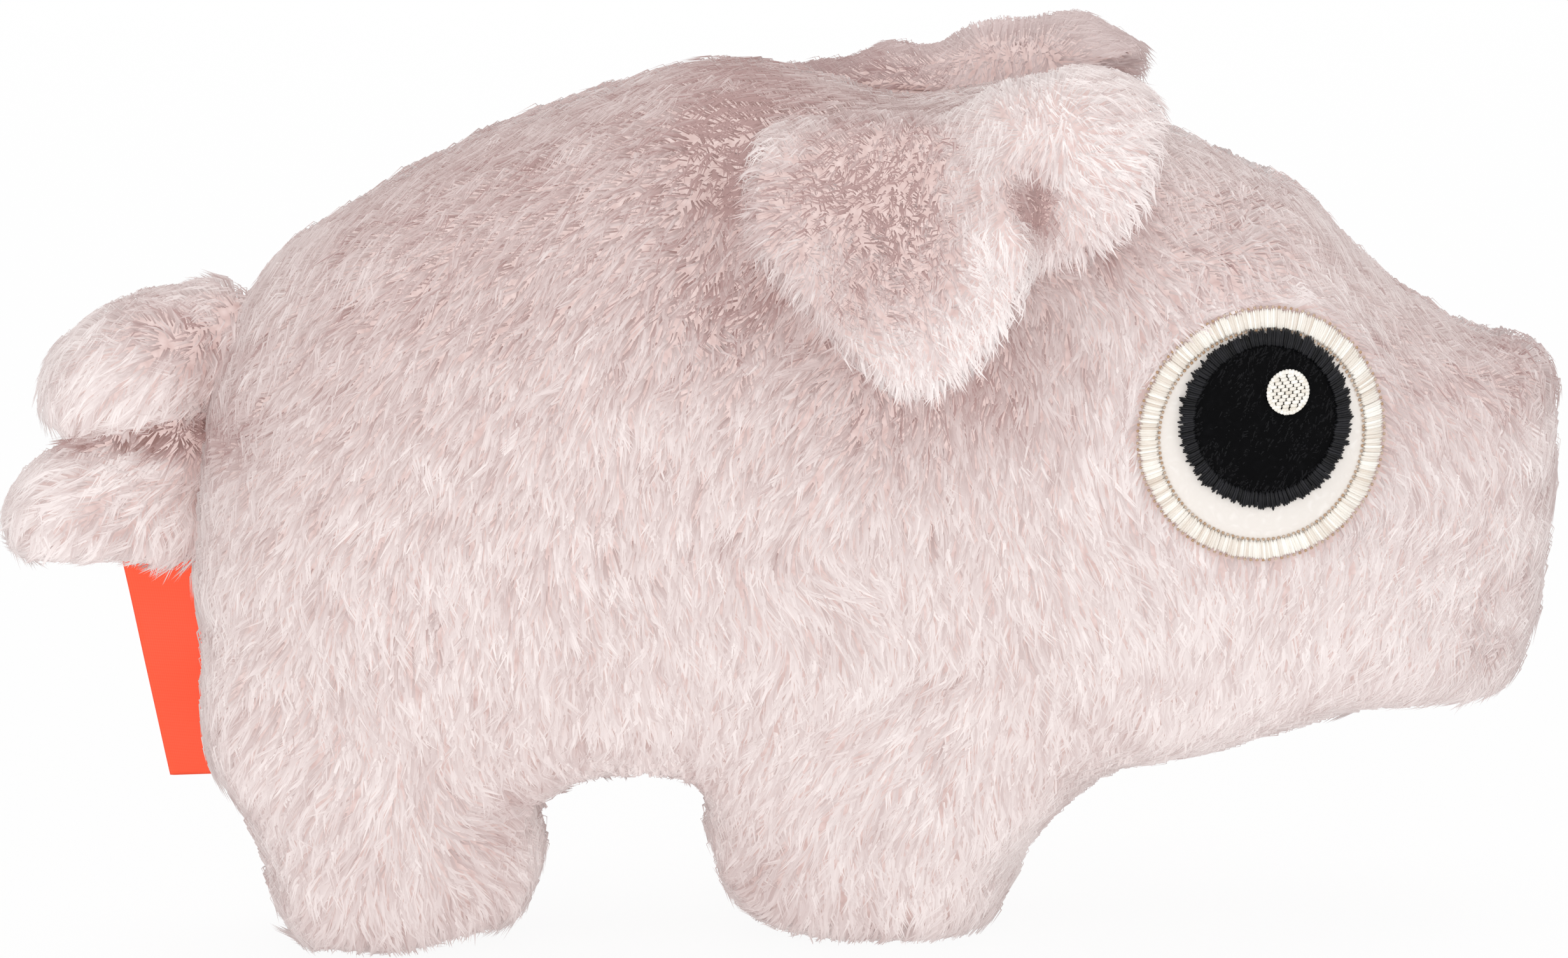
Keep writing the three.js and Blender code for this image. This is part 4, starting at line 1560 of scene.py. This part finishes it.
    def build(self, finishes: dict[str, bpy.types.Material]) -> None:
        """Makes the eye's pieces.

        Args:
            finishes: The material of each of its parts.
        """
        prefix = f"{self.side.name.lower()}_eye"
        felt = self.disc(f"{prefix}_felt", (0, 0), self.diameter / 2 - 0.8 * MM, 0.0, 0.8 * MM)
        self.dress(felt, finishes["felt"], "white")
        rim = self.ring(
            f"{prefix}_cream_border", (0, 0), self.diameter / 2, self.border, lift=0.85 * MM,
            ragged=0.09 * MM, pitch=0.28 * MM, seed=31, tone=(0.76, 0.12), holes=0.8 * MM,
        )
        self.dress(rim, finishes["cream"], "white_border")
        velour = self.disc(
            f"{prefix}_velour", self.pupil_shift, self.pupil / 2 - 0.7 * MM, 0.85 * MM, 0.4 * MM)
        self.dress(velour, finishes["velour"], "pupil")
        brushing = Brushing([Comb(self.middle[0] / MM, self.middle[1] / MM, 35)], outward=0.0)
        nap = Pile(
            density=9, length=1.25, lift=0.55, width=0.1, lock=0.8, draw=0.35, unrest=16, stray=0.1,
            light=0.4,
        )

        def on_face(root: np.ndarray, normal: np.ndarray) -> np.ndarray:
            """Whether strands stand on the bare part of the disc's outer side.

            Args:
                root: Where each strand stands.
                normal: The disc's outward normal there.

            Returns:
                True or False for each strand.
            """
            spread = root[:, [0, 2]] - self.middle - np.array(self.pupil_shift)
            spot = root[:, [0, 2]] - self.middle - np.array(self.highlight_shift)
            inside = np.linalg.norm(spread, axis=1) < self.pupil / 2 - self.pupil_border * 0.8
            clear = np.linalg.norm(spot, axis=1) > self.highlight / 2 - 0.2 * MM
            return inside & clear & (normal[:, 1] * self.side.value > 0.3)

        Strands(velour, brushing, nap, seed=71, keep=on_face).plant(
            f"{prefix}_velour_nap", "root", finishes["nap"])
        dark = self.ring(
            f"{prefix}_black_border", self.pupil_shift, self.pupil / 2, self.pupil_border, lift=1.25 * MM,
            ragged=0.2 * MM, pitch=0.28 * MM, seed=41, tone=(0.45, 0.26),
        )
        self.dress(dark, finishes["black"], "pupil_border")
        spark = self.filled(f"{prefix}_highlight", 1.55 * MM)
        self.dress(spark, finishes["white"], "highlight")
        log.info("%s: felt, two borders, velour and highlight", prefix)

    def dress(self, piece: bpy.types.Object, finish: bpy.types.Material, part: str) -> None:
        """Gives a piece its finish and its place in the model.

        Args:
            piece: The object.
            finish: The material that it wears.
            part: The part of the eye that it stands for.
        """
        piece.data.materials.append(finish)
        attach(piece, "root")
        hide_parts(self.node(part))


def eye_finishes() -> dict[str, bpy.types.Material]:
    """The materials of the eyes, by part."""
    felt, book, shader = new_material("white_felt")
    fluff = placed(book, "fibre fluff", Scale=900.0, Dark=linear(232, 226, 220), Light=linear(246, 242, 238))
    normal = book.bump(fluff.outputs["Height"], 0.35, 0.15 * MM)
    book.fill(shader, Base_Color=fluff.outputs["Colour"], Roughness=0.95, Sheen_Weight=0.2, Normal=normal)
    velour, book, shader = new_material("black_velour")
    fluff = placed(book, "fibre fluff", Scale=700.0, Dark=linear(5, 5, 6), Light=linear(14, 14, 16))
    book.fill(shader, Base_Color=fluff.outputs["Colour"], Roughness=0.9, Specular_IOR_Level=0.08)
    nap = PileFinish(
        "black_nap", (4, 4, 5), (10, 10, 11), (7, 7, 8), (24, 24, 27), roughness=0.6, sheen=0.0, gloss=0.1)
    return {
        "felt": felt,
        "velour": velour,
        "nap": nap.strands(),
        # the cream thread's tan dark end paints shade in the needle holes and between threads; the black
        # thread's lighter end paints sheen on single threads
        "cream": thread_material("cream_thread", (176, 138, 100), (255, 254, 248), 0.35),
        "black": thread_material("black_thread", (3, 3, 4), (34, 34, 38), 0.5, 0.2),
        "white": thread_material("white_thread", (222, 214, 200), (255, 253, 248), 0.4),
    }


# Ears


@dataclass
class Ear:
    """A floppy ear: a face panel and a back panel of pile fabric, hung from a seam on the crest of the head.

    Lengths are in millimetres. Places on the ear are shares of its width from its rear edge, and of
    the way from its seam to its tip.
    """

    side: Side
    rear: float = -5.1
    width: float = 57.0
    reach: float = 24.0
    drop: float = 39.0
    seam_out: float = 12.4
    seam_up: float = 110.2
    droop: float = 5.6
    rear_droop: float = 2.0
    cup: float = 3.2
    sink: float = 2.3  # how deep its root lies in the pile of the head
    core: float = 1.5  # one panel's backing and padding at its middle
    rim: float = 0.7  # the same at its rim
    gap: float = 0.12  # between a panel's inner side and the middle of the ear
    rim_inset: float = 0.055  # share by which the backing stops short of the pile's outline
    outline: tuple[Pair, ...] = (
        (0.02, 0.53), (0.07, 0.3), (0.2, 0.12), (0.38, 0.02), (0.6, 0), (0.79, 0.06), (0.89, 0.24),
        (0.935, 0.46), (0.9, 0.69), (0.79, 0.82), (0.66, 0.82), (0.59, 0.88), (0.49, 0.965),
        (0.37, 0.985), (0.26, 0.89), (0.12, 0.7),
    )
    centre: Pair = (0.42, 0.5)
    rear_section: tuple[Pair, ...] = (
        (0.04, 0), (0.29, 0.02), (0.54, 0.11), (0.73, 0.35), (0.82, 0.6), (0.85, 0.86),
    )
    front_section: tuple[Pair, ...] = (
        (-0.02, 0.02), (0.17, -0.06), (0.44, -0.06), (0.65, 0.1), (0.69, 0.37), (0.73, 0.75),
    )
    section_places: Pair = (0.325, 0.763)
    relief: tuple[Fold, ...] = (
        Fold((23, 107), (14, 92), 6.0, 2.4),
        Fold((31, 106.5), (28, 82), 4.0, -3.2),
        Fold((32.8, 103.5), (32.6, 100), 2.4, 5.0),
        Fold((34, 97), (32.6, 92), 2.2, 2.5),
        Fold((41, 108), (45, 102), 5.0, -1.4),
        Fold((-1, 104), (10, 76), 3.5, -1.4),
        Fold((0, 106), (30, 114), 3.0, -0.8),
    )
    brushing: Brushing = field(default_factory=lambda: Brushing(
        combs=many(
            Comb,
            (-3, 102, 75), (-0.4, 110, 85), (-1.2, 94, 45), (3, 88, 25), (7.4, 83, 15), (14.7, 77.7, 10),
            (27.6, 81, -8), (29.7, 89.7, -6), (28.5, 102.6, -10), (33, 111, 0), (13.8, 102.6, 40),
            (9.5, 106, 60), (19, 98, 20), (14.7, 87.6, -40), (16.8, 117.6, 90), (31.9, 118.5, 180),
            (40.5, 115.5, -100), (47, 111, -80), (48.2, 106, -40), (40.5, 104.7, -50), (34, 107, 0),
            (42.6, 99, -25), (34, 94.9, 0), (22, 93, -45), (22, 83, -20), (24, 107, 30),
        ),
        ruffles=many(
            Ruffle,
            (15, 100, 9, 0.85), (20, 107, 5, 0.7), (7, 104, 6, 0.5), (32.6, 102.5, 3.2, 0.95),
            (32, 113, 3, 0.35), (16, 91, 6, 0.5),
        ),
        # darker in the hollow, in the pocket and along the rear edge by the head: painted shade, partly the
        # pile's rubbed tone; lighter on the ridge: painted light
        tints=many(
            ToneAndShadingPatch,
            (15, 100, 10, -0.5), (10, 109, 8, -0.3), (32.6, 102.5, 3.3, -0.95), (27.5, 98, 3.6, 0.3),
            (33, 98.5, 2.4, -0.5), (27, 86, 6, 0.2), (-2, 101, 7, -0.35), (5, 87, 7, -0.2),
            (14, 79, 7, 0.05), (23, 104, 3, 0.15),
        ),
        # calm patches, where less of the roots' painted shade shows
        calms=many(
            ToneAndShadingPatch,
            (28.5, 93, 7, 0.7), (18, 79, 9, 0.6), (43, 107, 8, 0.7), (-3, 101, 5, 0.5), (4, 88, 6, 0.5),
            (30, 110, 5, 0.4), (15, 96, 60, 0.2),
        ),
        softness=2.5,
    ))
    face_pile: Pile = Pile(
        density=4.8, length=3.9, lift=1.8, width=0.14, lock=0.95, draw=0.26, unrest=9, stray=0.22,
        light=0.73,
    )
    back_pile: Pile = Pile(
        density=3.2, length=3.4, lift=1.2, width=0.17, lock=1.1, draw=0.4, unrest=8, light=0.65)
    raised: tuple[Fold, ...] = ()  # folds of this ear alone

    @property
    def name(self) -> str:
        """The ear's side in words."""
        return self.side.name.lower()

    def sheet(self, along: np.ndarray, down: np.ndarray) -> np.ndarray:
        """The surface between the two panels of the near ear.

        Args:
            along: Shares of its width, from its rear edge.
            down: Shares of the way from its seam to its tip.

        Returns:
            Rows of x, y, z in millimetres.
        """
        way = down.clip(0, 1)
        blend = smoothstep(along, *self.section_places)[:, None]
        section = spline(np.array(self.rear_section), way, False) * (1 - blend)
        section += spline(np.array(self.front_section), way, False) * blend
        height = self.seam_up - section[:, 1] * self.drop
        height = height - self.droop * smoothstep(along, self.section_places[1], 1)
        height = height - self.rear_droop * (1 - smoothstep(along, 0, 0.4))
        out = self.seam_out + section[:, 0] * self.reach
        return np.stack([self.rear + along * self.width, -out, height], 1)

    def outward(self, along: np.ndarray, down: np.ndarray) -> np.ndarray:
        """The near ear's direction away from the head.

        Args:
            along: Shares of its width, from its rear edge.
            down: Shares of the way from its seam to its tip.

        Returns:
            A unit row for each place.
        """
        step = 0.018
        forward = self.sheet(along + step, down) - self.sheet(along - step, down)
        downward = self.sheet(along, (down + step).clip(0, 1)) - self.sheet(along, (down - step).clip(0, 1))
        return unit(np.cross(downward, forward))

    def panel(self, name: str, face: int, outer_only: bool, inset: float) -> bpy.types.Object:
        """One panel's backing.

        Args:
            name: The object's name.
            face: 1 for the panel that faces out, -1 for the one that faces the head.
            outer_only: Whether only the side that bears pile is wanted.
            inset: The share by which its rim stops short of the ear's outline.

        Returns:
            The object.
        """
        shape = sphere(120, 32)
        if outer_only:
            inner = [v for v in shape.verts if v.co.z < -0.01]
            bmesh.ops.delete(shape, geom=inner, context="VERTS")
        points = points_of(shape)
        share = np.linalg.norm(points[:, :2], axis=1)
        angle = np.arctan2(points[:, 1], points[:, 0]) / FULL_TURN % 1
        edge = spline(np.array(self.outline), angle, True)
        spot = np.array(self.centre) + (edge - self.centre) * (share * (1 - inset))[:, None]
        along, down = spot.T
        out = self.outward(along, down)
        cup = self.cup * share**3 * smoothstep(down, 0, 0.4) - self.sink * (1 - smoothstep(down, 0, 0.3))
        swell = self.rim + (self.core - self.rim) * np.sqrt(1 - share.clip(0, 1) ** 4)
        rise = np.where(points[:, 2] > 0, swell, self.gap)
        rise = np.where(np.abs(points[:, 2]) < 0.01, (swell + self.gap) / 2, rise)
        places = self.sheet(along, down) + out * cup[:, None]
        deep = pressed(places * MM, (*self.relief, *self.raised)) / MM
        places = places + out * (face * rise - deep * smoothstep(down, 0.02, 0.2))[:, None]
        places[:, 1] *= -self.side.value
        bend_to(shape, places * MM)
        bmesh.ops.recalc_face_normals(shape, faces=shape.faces)
        piece = finished(name, shape)
        inward = normals_of(piece.data)[:, 1].mean() * self.side.value * face < 0
        if outer_only and inward:
            piece.data.flip_normals()
        return piece

    def build(self) -> None:
        """Makes the two panels and their pile."""
        backing = PINK_PILE.backing()
        # the far ear wears the darker copy of the pile: painted shade
        strands = (SHADED_FAR_EAR_PILE if self.side is Side.FAR else PINK_PILE).strands()
        for part, face, pile, seed in (("face", 1, self.face_pile, 201), ("back", -1, self.back_pile, 211)):
            piece = self.panel(f"{self.name}_ear_{part}", face, False, self.rim_inset)
            piece.data.materials.append(backing)
            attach(piece, f"{self.name}_ear")
            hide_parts(f"{self.name}_ear_{part}_panel")
            ground = self.panel("ground", face, True, self.rim_inset)
            turned_away = self.side.value * face > 0
            glow = (0.1, -1.3 if turned_away else -0.5, 0.3)  # light comes through the thin rim
            Strands(ground, self.brushing, pile, seed=seed, glow=glow).plant(
                f"{self.name}_ear_{part}_pile", f"{self.name}_ear", strands)
            bpy.data.objects.remove(ground)
        log.info("%s_ear: two panels and their pile", self.name)


# Tail


@dataclass
class Tail:
    """One stuffed tube of pile fabric, curled once, so that its end lies under its root."""

    voxel: float = 1.3 * MM
    pile_depth: float = 1.7 * MM
    neck: float = 6.5 * MM  # radius of the root, which turns in the rump seam
    fills: tuple[tuple[Triple, Triple], ...] = (
        ((-82.8, 0, 59.5), (7.2, 7.5, 8.5)), ((-79.8, 0, 66.5), (6.3, 7, 8)),
        ((-79.4, 0, 56.6), (4.8, 5.2, 5.4)), ((-74.8, 0, 82.6), (8, 6.5, 6.8)),
    )  # middle and half sizes of what fills the curls out against the rump, in millimetres
    brushing: Brushing = field(default_factory=lambda: Brushing(
        combs=many(
            Comb,
            (-78, 86, 100), (-88, 86, 75), (-95, 80, 35), (-85, 78, 45), (-80, 73, 35), (-95, 72, 20),
            (-82, 64, 75), (-92, 64, 80), (-100, 60, 60), (-90, 57, 20), (-80, 56, 0), (-97, 54, 30),
            (-74, 62, 10), (-75, 78, 20),
        ),
        ruffles=many(
            Ruffle,
            (-83, 85, 4, 0.6), (-76, 83, 4, 0.6), (-88, 70, 2.4, 0.6), (-77, 70, 4, 0.8),
            (-87, 60, 3, 0.45),
        ),
        # darker in the crease between the curls and towards the rump: painted shadow; lighter on the curls'
        # bulges: painted light
        tints=many(
            ToneAndShadingPatch,
            (-77.5, 69.5, 3, -0.8), (-82.5, 69.3, 2, -0.7), (-86.5, 69.3, 1.9, -0.7),
            (-90.5, 69.2, 1.9, -0.7), (-94.5, 68.8, 1.9, -0.5), (-74, 82, 5, -0.3), (-81, 86, 5, -0.1),
            (-90, 57, 7, 0.1), (-90, 78, 6, 0.05),
        ),
        # calm patches: below 0 in the crease and at the gap to the rump they bare the roots' painted shade,
        # a painted shadow; above 0 less of it shows
        calms=many(
            ToneAndShadingPatch,
            (-88, 78, 7, 0.2), (-92, 58, 7, 0.2), (-77.5, 69.5, 2.4, -2), (-82, 69.4, 1.4, -2),
            (-86, 69.3, 1.3, -2), (-90, 69.2, 1.3, -1.6), (-94, 68.9, 1.2, -1.2), (-74.5, 76, 3, -1.4),
            (-76, 62, 2.6, -1.4),
        ),
        softness=2.5,
    ))
    folds: tuple[Fold, ...] = (Fold((-92, 86), (-86, 88.5), 5.0, 1.3),)
    pile: Pile = Pile(
        density=3.3, length=5.0, lift=1.9, width=0.17, lock=1.45, draw=0.5, unrest=11, light=0.73)
    fringe: Pile = Pile(
        density=2.2, length=6.6, lift=1.5, width=0.15, lock=1.3, draw=0.6, unrest=20, light=0.8)

    def build(self) -> None:
        """Makes the tail's fabric and its pile."""
        piece = joined_nodes("tail", ["tail_root_curl", "tail_tip_curl"])
        hinge = next(joint for joint in frame["joints"] if joint["name"] == "tail_sway")
        self.add_neck(piece, Vector(hinge["pos_m"]))
        remeshed(piece, self.voxel)
        packed = BVHTree.FromObject(piece, bpy.context.evaluated_depsgraph_get())
        relaxed(piece, 4)
        fitted(piece, packed, self.pile_depth, 4, 3 * MM)
        relaxed(piece, 2)
        places = places_of(piece.data)
        deep = pressed(places, self.folds)[:, None]
        move_to(piece.data, places - normals_of(piece.data) * deep)
        strands = PINK_PILE.strands()
        Strands(piece, self.brushing, self.pile, seed=301, glow=(0, -0.3, 0.2), lean=0.5).plant(
            "tail_pile", "tail", strands)
        Strands(piece, self.brushing, self.fringe, seed=311, keep=self.over_tag, glow=(0, -0.3, 0)).plant(
            "tail_fringe", "tail", strands)
        piece.data.materials.append(PINK_PILE.backing())
        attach(piece, "tail")
        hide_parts("tail_root_curl", "tail_tip_curl")
        log.info("tail: %d faces", len(piece.data.polygons))

    @staticmethod
    def over_tag(root: np.ndarray, normal: np.ndarray) -> np.ndarray:
        """Whether each root's strand hangs over the tag's upper edge."""
        return (root[:, 0] > -84.5 * MM) & (root[:, 2] < 56 * MM) & (normal[:, 1] < 0.3)

    def add_neck(self, piece: bpy.types.Object, hinge: Vector) -> None:
        """Adds the tail's root, which is round about its hinge, and fills its end out against the rump.

        Args:
            piece: The curls.
            hinge: Where the tail turns.
        """
        shape = opened(piece)
        bmesh.ops.create_uvsphere(
            shape, u_segments=32, v_segments=16, radius=self.neck,
            matrix=Matrix.Translation(hinge) @ Matrix.Diagonal((1, 1, 1.1, 1)),
        )
        for middle, size in self.fills:
            bmesh.ops.create_uvsphere(
                shape, u_segments=32, v_segments=16, radius=1,
                matrix=Matrix.Translation(Vector(middle) * MM) @ Matrix.Diagonal((*(Vector(size) * MM), 1)),
            )
        put_back(shape, piece)


# Tag


@dataclass
class RibbonTag:
    """A bare satin ribbon, folded once, with both ends in the rump seam. Lengths are in millimetres."""

    seam_top: Pair = (-77.6, 51.7)
    seam_low: Pair = (-75.45, 22.75)
    top_reach: float = 10.0
    low_reach: float = 6.9
    sewn: float = 4.0  # of each end, inside the seam
    half_fold: float = 0.55  # half the distance between its two sides
    thickness: float = 0.3
    width: float = 29.0
    rows: int = 56
    columns: int = 61

    def build(self) -> None:
        """Makes the ribbon."""
        shape = bmesh.new()
        bmesh.ops.create_grid(shape, x_segments=self.rows, y_segments=self.columns, size=0.5)
        chart = shape.loops.layers.uv.new(CHART)
        points = points_of(shape)
        down, round_fold = points[:, 0] + 0.5, points[:, 1] * 2
        seam = np.array(self.seam_top) * (1 - down)[:, None] + np.array(self.seam_low) * down[:, None]
        reach = self.top_reach + (self.low_reach - self.top_reach) * down
        run = reach + self.sewn
        from_fold = np.abs(round_fold)
        back = run * (1 - from_fold)
        close = np.sqrt(1 - (1 - (from_fold * run / 0.9).clip(0, 1)) ** 2)
        wave = 0.35 * np.sin(down * 5.2 + 0.6) * (1 - from_fold) + 0.12 * np.sin(down * 11)
        y = np.sign(round_fold) * self.half_fold * close + wave * smoothstep(back, 0, 4)
        places = np.stack([seam[:, 0] + self.sewn - back, y, seam[:, 1]], 1) * MM
        for face in shape.faces:
            for loop in face.loops:
                loop[chart].uv = (loop.vert.co.x + 0.5, loop.vert.co.y + 0.5)
        bend_to(shape, places)
        piece = finished("ribbon_tag_satin", shape)
        thickened(piece, self.thickness * MM, 0)
        piece.data.materials.append(self.satin())
        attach(piece, "tag")
        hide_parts("ribbon_tag")
        log.info("ribbon_tag: %d faces", len(piece.data.polygons))

    @staticmethod
    def satin() -> bpy.types.Material:
        """Orange-red woven satin: fine warp threads over a darker weft, with a soft sheen."""
        material, book, shader = new_material("tag_satin")
        down, along = book.chart()
        warp = book.math("SINE", book.math("MULTIPLY", down, FULL_TURN * 140), 0.0)
        weft = book.math("SINE", book.math("MULTIPLY", along, FULL_TURN * 90), 0.0)
        weave = book.math("ADD", book.math("MULTIPLY", warp, 0.25), book.math("MULTIPLY", weft, 0.1))
        height = book.math("ADD", weave, 0.5)
        book.fill(
            shader, Base_Color=book.mix(height, linear(246, 74, 44), linear(255, 100, 64)), Roughness=0.5,
            Specular_IOR_Level=0.3, Anisotropic=0.4, Normal=book.bump(height, 0.25, 0.05 * MM),
        )
        return material


# Studio


@dataclass(frozen=True)
class Studio:
    """The floor, the light and the camera."""

    azimuth: float = -0.3  # degrees
    elevation: float = 11.6
    roll: float = 1.6
    lens: float = 250.0  # millimetres
    sensor: float = 36.0
    view_width: float = 206.5 * MM
    middle: Pair = (-1.67 * MM, 58.86 * MM)  # of the picture, along its right and up
    aim: Triple = (0, 0, 0.055)  # what the lamps face
    lamps: tuple[tuple[str, Triple, float, float], ...] = (
        ("front_lamp", (-0.1, -1.2, 0.4), 0.7, 2.9), ("low_lamp", (0.0, -0.9, 0.13), 0.25, 1.05),
        ("right_lamp", (0.9, -0.6, 0.35), 0.6, 1.8), ("left_lamp", (-0.9, -0.6, 0.25), 0.6, 1.8),
        ("top_lamp", (0.05, 0.2, 1.2), 0.9, 4.9), ("back_lamp", (0.0, 1.2, 0.35), 0.8, 3.1),
    )  # name, place, side in metres and power in watts

    def build(self) -> None:
        """Sets everything up."""
        scene = bpy.context.scene
        scene.view_settings.view_transform = "Standard"
        self.floor()
        self.light()
        self.camera()

    def floor(self) -> None:
        """A wide pale floor that keeps the toy's shadow and is white to the camera."""
        shape = bmesh.new()
        bmesh.ops.create_grid(shape, x_segments=2, y_segments=2, size=6)
        ground = finished("floor", shape)
        material, book, shader = new_material("floor")
        book.fill(shader, Base_Color=(0.92, 0.92, 0.92, 1), Roughness=0.9, Specular_IOR_Level=0.0)
        glow = book.add("ShaderNodeEmission")
        blend = book.add("ShaderNodeMixShader")
        book.link(book.math("MULTIPLY", book.seen(), 0.92), blend.inputs[0])
        book.link(shader.outputs[0], blend.inputs[1])
        book.link(glow.outputs[0], blend.inputs[2])
        book.link(blend.outputs[0], material.node_tree.nodes["Material Output"].inputs["Surface"])
        ground.data.materials.append(material)

    def light(self) -> None:
        """A white surround and six soft lamps."""
        world = bpy.data.worlds.new("surround")
        bpy.context.scene.world = world
        world.use_nodes = True
        book = NodeBook(world.node_tree)
        back = world.node_tree.nodes["Background"]
        strength = book.math("ADD", book.math("MULTIPLY", book.seen(), 0.46), 0.54)
        book.fill(back, Strength=strength, Color=(1, 1, 1, 1))
        for name, place, size, power in self.lamps:
            self.lamp(name, Vector(place), size, power)

    def lamp(self, name: str, place: Vector, size: float, power: float) -> None:
        """A square soft lamp that faces the toy.

        Args:
            name: The lamp's name.
            place: Where it stands.
            size: The length of its side.
            power: Its power in watts.
        """
        data = bpy.data.lights.new(name, "AREA")
        data.energy = power
        data.size = size
        lamp = bpy.data.objects.new(name, data)
        bpy.context.scene.collection.objects.link(lamp)
        turn = (Vector(self.aim) - place).to_track_quat("-Z", "Y")
        lamp.matrix_world = Matrix.Translation(place) @ turn.to_matrix().to_4x4()

    def camera(self) -> None:
        """A long lens level with the photograph's view."""
        data = bpy.data.cameras.new("camera")
        data.lens, data.sensor_width = self.lens, self.sensor
        camera = bpy.data.objects.new("camera", data)
        bpy.context.scene.collection.objects.link(camera)
        turn, rise = math.radians(self.azimuth), math.radians(self.elevation)
        right = Vector((math.cos(turn), math.sin(turn), 0))
        ahead = Vector((-math.sin(turn) * math.cos(rise), math.cos(turn) * math.cos(rise), -math.sin(rise)))
        up = right.cross(ahead)
        tilt = Matrix.Rotation(math.radians(self.roll), 3, ahead)
        right, up = tilt @ right, tilt @ up
        distance = self.view_width * self.lens / self.sensor
        middle = right * self.middle[0] + up * self.middle[1]
        place = middle - ahead * (middle.y / ahead.y + distance)
        camera.matrix_world = Matrix.Translation(place) @ Matrix((right, up, -ahead)).transposed().to_4x4()
        data.clip_start, data.clip_end = 0.05, 20
        bpy.context.scene.camera = camera


def main() -> None:
    """Builds the toy and its studio."""
    logging.basicConfig(level=logging.INFO, format="%(message)s")
    build_groups()
    Studio().build()
    eyes = [Eye(side) for side in Side]
    StuffedBody().build(eyes)
    finishes = eye_finishes()
    for eye in eyes:
        eye.build(finishes)
    Ear(Side.NEAR, sink=2.9).build()
    Ear(Side.FAR, sink=1.3, raised=(
        Fold((18, 110), (25, 112), 5.0, -2.5), Fold((30, 117), (37, 118), 5.0, -1.4),
        Fold((44, 119), (49, 116), 5.0, 1.0),
    )).build()
    Tail().build()
    RibbonTag().build()


if __name__ == "__main__":
    main()
